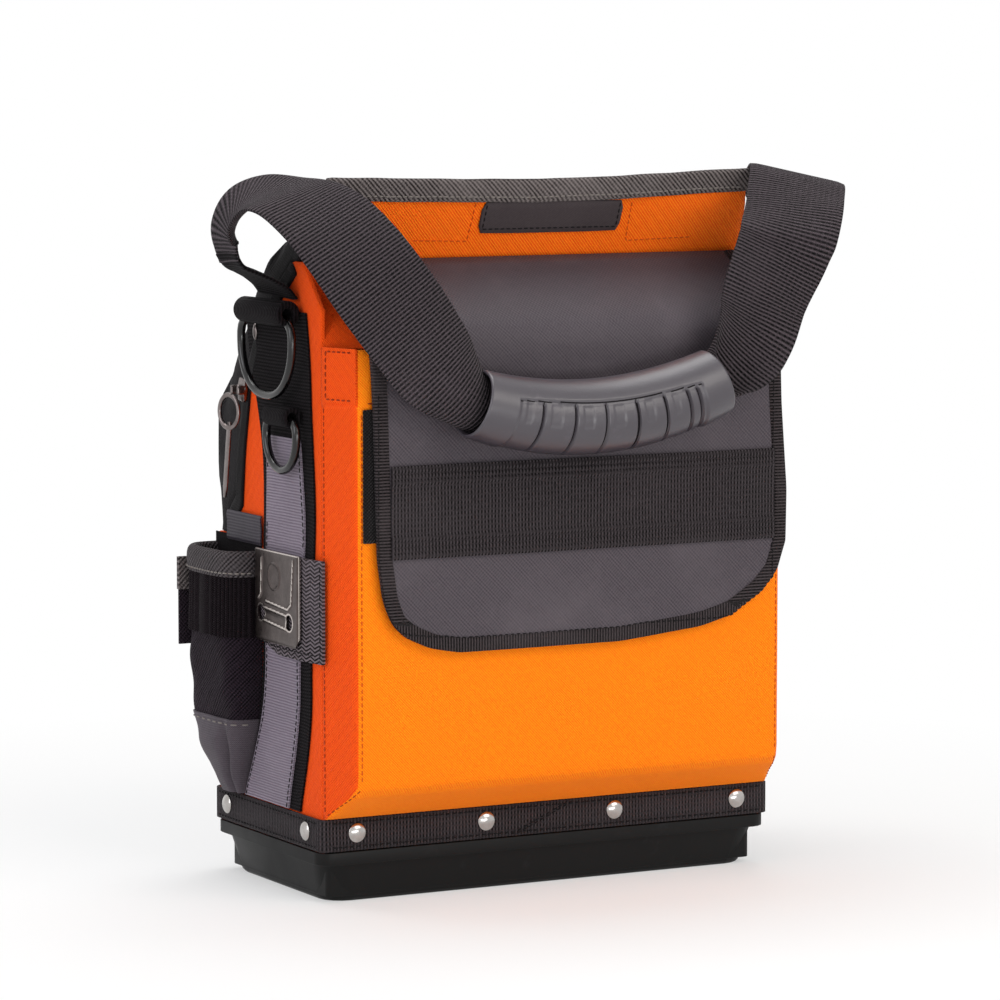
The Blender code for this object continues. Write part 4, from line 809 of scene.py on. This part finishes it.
# Spring steel: dark brushed grey, with paler steel along its ridges and rims as painted highlight.
pressed = plated("pressed_spring_steel", "#675d5b", "#3d3634", 0.26, scratch=0.6)
steel_painted_highlight = plated("spring_steel_painted_highlight", "#d8cfca", "#a89e99", 0.2)
low_y, high_y, low_z, high_z = -0.0495, 0.0025, 0.1300, 0.1775
plate_x, press_depth = -0.1374, 0.00063
holes, hole_radius = ((-0.0055, 0.1446), (-0.0385, 0.1424)), 0.0040
grooves = (((-0.0070, 0.1725), (-0.0060, 0.1545), (-0.0030, 0.1520)),
           ((-0.0440, 0.1745), (-0.0415, 0.1520), (-0.0375, 0.1492), (-0.0120, 0.1512)),
           ((-0.0095, 0.1478), (-0.0350, 0.1460)), ((-0.0095, 0.1412), (-0.0350, 0.1390)))
bpy.ops.mesh.primitive_grid_add(x_subdivisions=143, y_subdivisions=156, size=1.0,
                                rotation=(0.0, math.pi / 2, 0.0))
clip = added("tape_clip_plate")


def near_line(y, z, ends):
    """How far places on the plate lie from a line of points."""
    best = np.full(len(y), 1.0)
    for (y0, z0), (y1, z1) in zip(ends[:-1], ends[1:]):
        run = np.array([y1 - y0, z1 - z0])
        share = np.clip(((y - y0) * run[0] + (z - z0) * run[1]) / (run @ run), 0, 1)
        best = np.minimum(best, np.hypot(y - y0 - run[0] * share, z - z0 - run[1] * share))
    return best


def near_groove(y, z):
    """How far places on the plate lie from the nearest groove."""
    return np.minimum.reduce([near_line(y, z, groove) for groove in grooves])


spots = read(clip.data.vertices, "co", 3)
y = (low_y + high_y) / 2 + spots[:, 1] * (high_y - low_y)
z = (low_z + high_z) / 2 + spots[:, 2] * (high_z - low_z)
for round_y, round_z, radius, turn_y, turn_z in (
        (low_y, low_z, 0.0070, 1, 1), (high_y, low_z, 0.0055, -1, 1),
        (low_y, high_z, 0.0012, 1, -1), (high_y, high_z, 0.0012, -1, -1)):
    mid_y, mid_z = round_y + turn_y * radius, round_z + turn_z * radius
    out = (turn_y * (y - mid_y) < 0) & (turn_z * (z - mid_z) < 0)
    far = np.maximum(np.abs(y - mid_y), np.abs(z - mid_z))
    true = np.hypot(y - mid_y, z - mid_z) + 1e-9
    y = np.where(out, mid_y + (y - mid_y) * far / true, y)
    z = np.where(out, mid_z + (z - mid_z) * far / true, z)
# the pressing, in shares of its depth: raised grooves and ring, a sunk bar between the holes, and
# an edge that turns down
stamped = np.abs(np.hypot(y + 0.0215, z - 0.1645) - 0.0066) + 0.00035
rise = np.exp(-(np.minimum(near_groove(y, z), stamped) / 0.0008) ** 2)
rise -= np.exp(-(near_line(y, z, ((-0.0075, 0.1445), (-0.0365, 0.1425))) / 0.0020) ** 2)
edge = np.minimum.reduce([y - low_y, high_y - y, z - low_z])
rise -= np.exp(-(np.clip(edge, 0, 1) / 0.0011) ** 2)
for hole_y, hole_z in holes:
    far = np.hypot(y - hole_y, z - hole_z)
    rim = np.abs(far - hole_radius) < 0.00022
    y = np.where(rim, hole_y + (y - hole_y) * hole_radius / (far + 1e-9), y)
    z = np.where(rim, hole_z + (z - hole_z) * hole_radius / (far + 1e-9), z)
clip.data.vertices.foreach_set("co", np.stack([plate_x - rise * press_depth, y, z], axis=1).ravel())
clip.data.update()
_, y, z = read(clip.data.polygons, "center", 3).T
with editing("FACE", np.minimum.reduce([np.hypot(y - hole_y, z - hole_z)
                                        for hole_y, hole_z in holes]) < hole_radius):
    bpy.ops.mesh.delete(type="FACE")
worked(clip, "SOLIDIFY", thickness=0.0011, offset=0.0)
face_out()
edge_round(clip, 0.00012, segments=1, angle=1.0)
stands(clip, pressed, "root", "tape_clip")
clip.data.materials.append(steel_painted_highlight)
_, y, z = read(clip.data.polygons, "center", 3).T
# painted highlight: the groove crests, the top and front edges and the rims round the holes take
# the paler steel
bright = (near_groove(y, z) < 0.0005) | (high_z - z < 0.0005) | (y - low_y < 0.0005)
for hole_y, hole_z in holes:
    bright |= np.abs(np.hypot(y - hole_y, z - hole_z) - hole_radius - 0.0005) < 0.0004
clip.data.polygons.foreach_set("material_index", bright.astype(np.int32))


# The side pockets: black ballistic nylon that sags from a grey bound mouth, with ribbed elastic
# below the mouth and a pleated foot of grey coated cloth. A satin band crosses the wall above.
# Ballistic nylon: black with coarse threads. Elastic: fine black ribs. Lining: plain black.
nylon = woven("black_ballistic_nylon", "#2f252e", "#020102", 0.7, 0.0020, 0.0020, 0.0008,
              twill=0.4, sheen=0.02, wear=0.5, specular=0.06)
elastic = woven("black_ribbed_elastic", "#241d21", "#020102", 0.76, 0.0014, 0.0012, 0.0004,
                rib=0.2, sheen=0.02, specular=0.05)
lining = woven("black_nylon_lining", "#151114", "#050304", 0.8, 0.0014, 0.0014, 0.0002,
               sheen=0.02, wear=0.1, specular=0.05)
# Satin tape: grey with a soft silk. Coated foot: plum grey, rubbed pale in places.
satin = woven("grey_satin_tape", "#4a454c", "#2c2730", 0.42, 0.0008, 0.0016, 0.00006, rib=0.6)
coated_foot = woven("grey_coated_foot", "#5b545b", "#3c363b", 0.55, 0.0009, 0.0012, 0.0001,
                    rib=0.3, wear=0.5)
# height, front and rear edges, and how far the pocket stands out
pocket_levels = np.array((
    (0.0450, 0.0250, 0.0450, 0.0060), (0.0550, 0.0225, 0.0520, 0.0100),
    (0.0700, 0.0165, 0.0580, 0.0145), (0.0850, 0.0105, 0.0615, 0.0178),
    (0.1000, 0.0080, 0.0620, 0.0196), (0.1200, 0.0070, 0.0620, 0.0200),
    (0.1400, 0.0070, 0.0618, 0.0194), (0.1600, 0.0072, 0.0618, 0.0190),
    (0.1740, 0.0075, 0.0618, 0.0190)))


def pocket_wall(z, t, side, off):
    """A place on the pocket at a height and a share of the way round from the wall's front edge to
    its rear edge, a given distance outside the cloth."""
    low_y, high_y, out = [np.interp(z, pocket_levels[:, 0], pocket_levels[:, k]) for k in (1, 2, 3)]
    angle = math.pi * t
    wide = math.copysign(abs(math.cos(angle)) ** 0.55, math.cos(angle))
    deep = math.sin(angle) ** 0.55 if 0 < t < 1 else 0.0
    pleat = max(0.0, min(1.0, (0.088 - z) / 0.02))
    deep -= 0.42 * pleat * math.exp(-((t - 0.36) / 0.05) ** 2)
    sag = 0.0
    if z < 0.136:
        slack = max(0.0, min(1.0, (0.136 - z) / 0.02)) * math.sin(angle)
        spot = Vector((t * 3.2, z / 0.030, side * 0.3))
        sag = (noise.noise(spot) * 0.0030 - 0.0009 * math.sin(z * 260 + t * 9)) * slack
    middle, half = (low_y + high_y) / 2, (high_y - low_y) / 2
    return (side * (0.1311 + (out + off + sag) * max(deep, 0.0) + 0.0002),
            middle - wide * (half + off * 0.6), z)


def upright(side, out, lean, y, heights):
    """Rows of a tab that stands out from the wall, three points to a row."""
    return [[(side * (out + lean * t), y, z) for t in np.linspace(0, 1, 3)] for z in heights]


around = np.linspace(0, 1, 41)
mouth_section = ((0.1615, 0.0022), (0.1640, 0.0030), (0.1690, 0.0032), (0.1725, 0.0028),
                 (0.1742, 0.0012), (0.1744, -0.0004), (0.1735, -0.0020), (0.1700, -0.0026),
                 (0.1640, -0.0026))
satin_section = ((0.1775, 0.0), (0.1782, 0.0006), (0.1800, 0.0007), (0.1820, 0.0004),
                 (0.1880, 0.0004), (0.1900, 0.0008), (0.1918, 0.0008), (0.1926, 0.0))
for side, tag in ((-1, "left"), (1, "right")):
    rows = [[pocket_wall(z, t, side, 0.0) for t in around] for z in np.linspace(0.0455, 0.1715, 34)]
    cloth("side_pocket_nylon_" + tag, rows, 0.0011, nylon, node="side_pocket_" + tag)
    rows = [[pocket_wall(z, t, side, 0.0010) for t in around]
            for z in np.linspace(0.0458, 0.0865, 14)]
    pocket_foot = cloth("pocket_foot_" + tag, rows, 0.0008, coated_foot)
    rows = [[pocket_wall(z, k / 220, side, 0.0012 + 0.0008 * math.cos(math.tau * k / 10))
             for k in range(221)] for z in np.linspace(0.1300, 0.1625, 10)]
    cloth("pocket_elastic_tape_" + tag, rows, 0.0009, elastic, levels=0,
          node="pocket_elastic_" + tag)
    rows = [[(*pocket_wall(min(z, 0.1738), t, side, off)[:2], z) for t in around]
            for z, off in mouth_section]
    mouth = cloth("pocket_mouth_" + tag, rows, 0.0010, pocket_twill, node="pocket_binding_" + tag)
    rows = [[(side * 0.1315, y, z) for y in np.linspace(0.0075, 0.0622, 6)]
            for z in np.linspace(0.050, 0.1800, 6)]
    cloth("pocket_lining_" + tag, rows, 0.0005, lining)
    run = np.linspace(0.03, 0.97, 44)
    stitches("pocket_mouth_stitches_" + tag, [[pocket_wall(0.1634, t, side, 0.004) for t in run]],
             mouth, grey_thread, thick=0.0006)
    stitches("pocket_foot_stitches_" + tag, [[pocket_wall(0.0838, t, side, 0.002) for t in run]],
             pocket_foot, grey_thread, pitch=0.0060, length=0.0034, thick=0.0006)
    cloth("pocket_rear_tab_" + tag,
          upright(side, 0.1455, 0.0075, 0.0632, np.linspace(0.121, 0.165, 5)), 0.0016, nylon)
    cloth("pocket_rear_tab_binding_" + tag,
          upright(side, 0.1452, 0.0082, 0.0632, np.linspace(0.150, 0.1672, 4)), 0.0030, grey_twill)
    rows = [[(side * (0.1318 + lift), y, z) for y in np.linspace(0.0055, 0.0465, 10)]
            for z, lift in satin_section]
    cloth("satin_tape_" + tag, rows, 0.0008, satin, node="satin_band_" + tag)


# The handle: 2 in charcoal webbing from both side walls, curled into the mouths of a soft-touch
# moulded grip with a grooved finger panel.
# Charcoal webbing: heavy ribs, grey on top as painted light, with black hollows of painted shade.
strap_look = woven("charcoal_webbing", "#574e53", "#020102", 0.74, 0.0030, 0.0019, 0.0014,
                   rib=0.76, wear=0.25)
left_rows = (
    (160.5, -21, 326.3, 0, 1, 0, 0, 12), (162.5, -20.5, 333, .02, .99, .05, 0, 14),
    (163.5, -21, 341, .05, .97, .12, 0, 18), (162, -26, 349, .18, .92, .25, 0, 22),
    (158, -38, 356.5, .55, .74, .36, 0, 25), (152, -54, 360.5, .84, .45, .28, 0, 25.4),
    (147, -70, 359, .93, .22, .29, 0, 25.4), (139, -86, 349, .92, .1, .36, 0, 25.4),
    (130, -97, 334.5, .9, 0, .43, 0, 25.4), (120.5, -103.7, 319, .87, -.08, .5, 0, 25.4),
    (109, -107, 302.5, .84, -.06, .54, 0, 25.4), (98, -112, 287, .80, .02, .6, -.3, 25.4),
    (88.5, -117, 274.5, .7, 0, .7, -.8, 25), (79, -120, 265, .5, 0, .86, -1.3, 24),
    (70, -120.5, 258.5, .35, 0, .93, -1.55, 23), (61, -118.5, 254.5, .3, 0, .95, -1.6, 22))
right_rows = (
    (160.5, -21, 326.3, 0, 1, 0, 0, 11), (163, -20.5, 333.5, .1, .99, .05, 0, 17),
    (165, -21, 343, .3, .9, .1, 0, 23), (164.5, -26, 353, .6, .72, .15, 0, 25.4),
    (161, -38, 361.5, .76, .6, .14, 0, 25.4), (152.5, -56, 366, .81, .55, .2, 0, 25.4),
    (142, -75, 365.5, .83, .51, .23, 0, 25.4), (133, -88, 358, .84, .52, .15, 0, 25.4),
    (125, -99, 349.5, .85, .51, .08, 0, 25.4), (117.3, -106.9, 339, .9, .43, .12, 0, 25.4),
    (113, -107.2, 328.6, .96, .21, .19, 0, 25.4), (103, -107.9, 308.4, .96, .03, .27, 0, 25.4),
    (94.5, -107.5, 290, .93, 0, .35, .4, 25.4), (83.5, -106, 276, .72, .05, .66, 1.2, 25.4),
    (72.5, -104, 267, .48, .05, .87, 2.0, 25.4), (61.5, -103.7, 262.0, .32, 0, .95, 2.3, 25.4))
foot_rows = (
    (133.2, -18, 308.6, 0, 1, 0, 0, 21), (137.5, -18.5, 313.5, 0, 1, 0, 0, 20),
    (144.5, -19.5, 318, 0, 1, 0, 0, 16.5), (152, -20.5, 321.5, 0, 1, 0, 0, 13.5),
    (158.5, -21, 324.5, 0, 1, 0, 0, 12), (162.5, -20.7, 330.5, 0, 1, 0, 0, 12.6))


def smooth_rows(rows, count):
    """The rows' values on one smooth line through them, at even steps."""
    table = np.array(rows, dtype=float)
    last = len(table) - 1
    t = np.linspace(0, last, count)
    i = np.minimum(t.astype(int), last - 1)
    f = (t - i)[:, None]
    p0, p1, p2, p3 = (table[np.clip(i + k, 0, last)] for k in (-1, 0, 1, 2))
    return 0.5 * (2 * p1 + (p2 - p0) * f + (2 * p0 - 5 * p1 + 4 * p2 - p3) * f * f
                  + (3 * p1 - p0 - 3 * p2 + p3) * f ** 3)


def strap(name, rows, side, look, body, node, count=120, columns=16):
    """Webbing 50.8 by 2.5 mm along the rows, thinner at its woven edges, with its weave map. A row
    holds its place in mm, the direction across, how far it curls, and its half width, which is
    less where the webbing is gathered."""
    stations = smooth_rows(rows, count)
    places = stations[:, :3] * (side * 0.001, 0.001, 0.001)
    runs = np.gradient(places, axis=0)
    points = []
    spots = []
    for row, place, run, along in zip(stations, places, runs, lengths(places)):
        place, run = Vector(place), Vector(run).normalized()
        wide = Vector((-side * row[3], row[4], row[5]))
        wide = (wide - run * wide.dot(run)).normalized()
        normal = run.cross(wide).normalized() * -side
        curl, half = row[6], row[7] / 1000
        gather = 1 - min(half / 0.0254, 1.0)
        for face in (1, -1):
            for column in range(columns + 1):
                share = (column / columns * 2 - 1) * face
                angle = curl * share
                across, sag = half * share, gather * 0.002 * share * share
                if abs(curl) > 0.02:
                    across = half / curl * math.sin(angle)
                    sag += half / curl * (1 - math.cos(angle))
                local = normal * math.cos(angle) - wide * math.sin(angle)
                thick = 0.00125 * (1 - 0.55 * abs(share) ** 14)
                points.append(place + wide * across + normal * sag + local * (thick * face))
                spots.append((share * 0.0254 + 0.0254 + (0.09 if face < 0 else 0), along))
    piece = built(name, points, tube(count, 2 * (columns + 1)), spots)
    face_out()
    return stands(piece, look, body, node)


for tag, side, rows, length in (("left", -1, left_rows, 0.222), ("right", 1, right_rows, 0.240)):
    piece = strap("handle_strap_" + tag, rows, side, strap_look, "handle", "strap_" + tag)
    # the strap's foot takes the darker strip webbing as painted shade
    strap("handle_strap_foot_" + tag, foot_rows, side, strip_black_painted_shade, "root", "strap_end_" + tag,
          count=32)

# Soft-touch elastomer: mid grey with a broad satin gloss; its grooves and the panel's line are
# near black and dull, a painted shade.
soft_touch = moulded("soft_touch_elastomer", "#3b363d", "#524b54", 0.36, 0.0011, 0.0002,
                     specular=0.75)
groove_painted_shade = moulded("elastomer_groove_painted_shade", "#171417", "#1e1a1e", 0.7, 0.0011, 0.0001, specular=0.1)
grip_middle = Vector((-0.0022, -0.1155, 0.2480))
grip_half, grip_bow, grip_tilt = 0.0700, 0.0125, 0.0030
finger_grooves = (-0.0400, -0.0215, -0.0037, 0.0146, 0.0312, 0.0450, 0.0510)
panel_start, panel_end = -0.0540, 0.0545


def grip_spot(place):
    """A place of the straight tube, laid along the grip's bowed centre line."""
    share = place[0] / grip_half
    centre = grip_middle + Vector((place[0], 0.0, grip_bow * share * share + grip_tilt * share))
    slope = (2 * grip_bow * share + grip_tilt) / grip_half
    run = Vector((1.0, 0.0, slope)).normalized()
    up = Vector((-run.z, 0.0, run.x))
    return centre + Vector((0.0, place[1], 0.0)) + up * place[2]


grip_radius, mouth_radius, bore, mouth_along = 0.0196, 0.0176, 0.0158, 0.0692
# the tube's section: in along the bore, round the lip, over the outside and back in
lip = [(-0.0560, 0.0150), (-0.0680, 0.0155), (-0.0695, bore), (-0.0700, bore + 0.0006),
       (-0.0698, mouth_radius - 0.0005)]
profile = list(lip)
for along in np.linspace(-mouth_along, mouth_along, 278):
    share = abs(along) / mouth_along
    profile.append((along, grip_radius + (mouth_radius - grip_radius) * share ** 2.2))
profile += [(-along, size) for along, size in reversed(lip)]
bpy.ops.mesh.primitive_grid_add(x_subdivisions=len(profile) - 1, y_subdivisions=160, size=1.0)
grip = added("grip_moulding")
mesh = grip.data
spots = read(mesh.vertices, "co", 3)
step = np.rint((spots[:, 0] + 0.5) * (len(profile) - 1)).astype(int)
along, size = np.array(profile)[step].T
outer = (step > 4) & (step < len(profile) - 5)
angle = (spots[:, 1] * 360 + 180) % 360 - 180
# the finger panel lies lower than the tube; grooves, shallow windows and a line are cut in it
top = 27 - 5 * (along / 0.05) ** 4
panel = np.clip((top - angle) / 3.5, 0, 1) * np.clip((angle + 118) / 6, 0, 1)
panel *= np.clip((along - panel_start) / 0.0012, 0, 1)
panel *= np.clip((panel_end - along) / 0.0012, 0, 1)
dip = np.zeros(len(spots))
for groove in finger_grooves:
    dip = np.maximum(dip, np.exp(-((along - groove) / 0.0008) ** 4))
windows = np.zeros(len(spots))
for before, after in zip((panel_start,) + finger_grooves[:-2], finger_grooves[:-1]):
    inside = np.clip((along - before - 0.0040) / 0.0008, 0, 1)
    inside *= np.clip((before + (after - before) * 0.60 - along) / 0.0008, 0, 1)
    inside *= np.clip((23 - angle) / 3, 0, 1) * np.clip((angle + 14) / 3, 0, 1)
    windows = np.maximum(windows, inside)
line = np.exp(-((angle - top - 1.0) / 2.2) ** 4) * (along > panel_start) * (along < panel_end)
size = size - outer * (panel * 0.0009 + panel * dip * 0.0014 + windows * 0.0003 + line * 0.0009)
turn = np.radians(angle)
straight = np.stack([along, -np.cos(turn) * size, np.sin(turn) * size], axis=1)
mesh.vertices.foreach_set("co", np.array([grip_spot(place) for place in straight]).ravel())
mesh.update()
stands(grip, soft_touch, "handle", "grip")
mesh.materials.append(groove_painted_shade)
# the grooves and the panel's line take the near black material as painted shade
dark = ((panel * dip > 0.55) | (line > 0.5)) & outer
for face in mesh.polygons:
    if all(dark[corner] for corner in face.vertices):
        face.material_index = 1
with editing("VERT"):
    bpy.ops.mesh.remove_doubles(threshold=0.00001)
    bpy.ops.mesh.select_all(action="DESELECT")
    bpy.ops.mesh.select_non_manifold()
    bpy.ops.mesh.fill_holes(sides=0)
face_out()
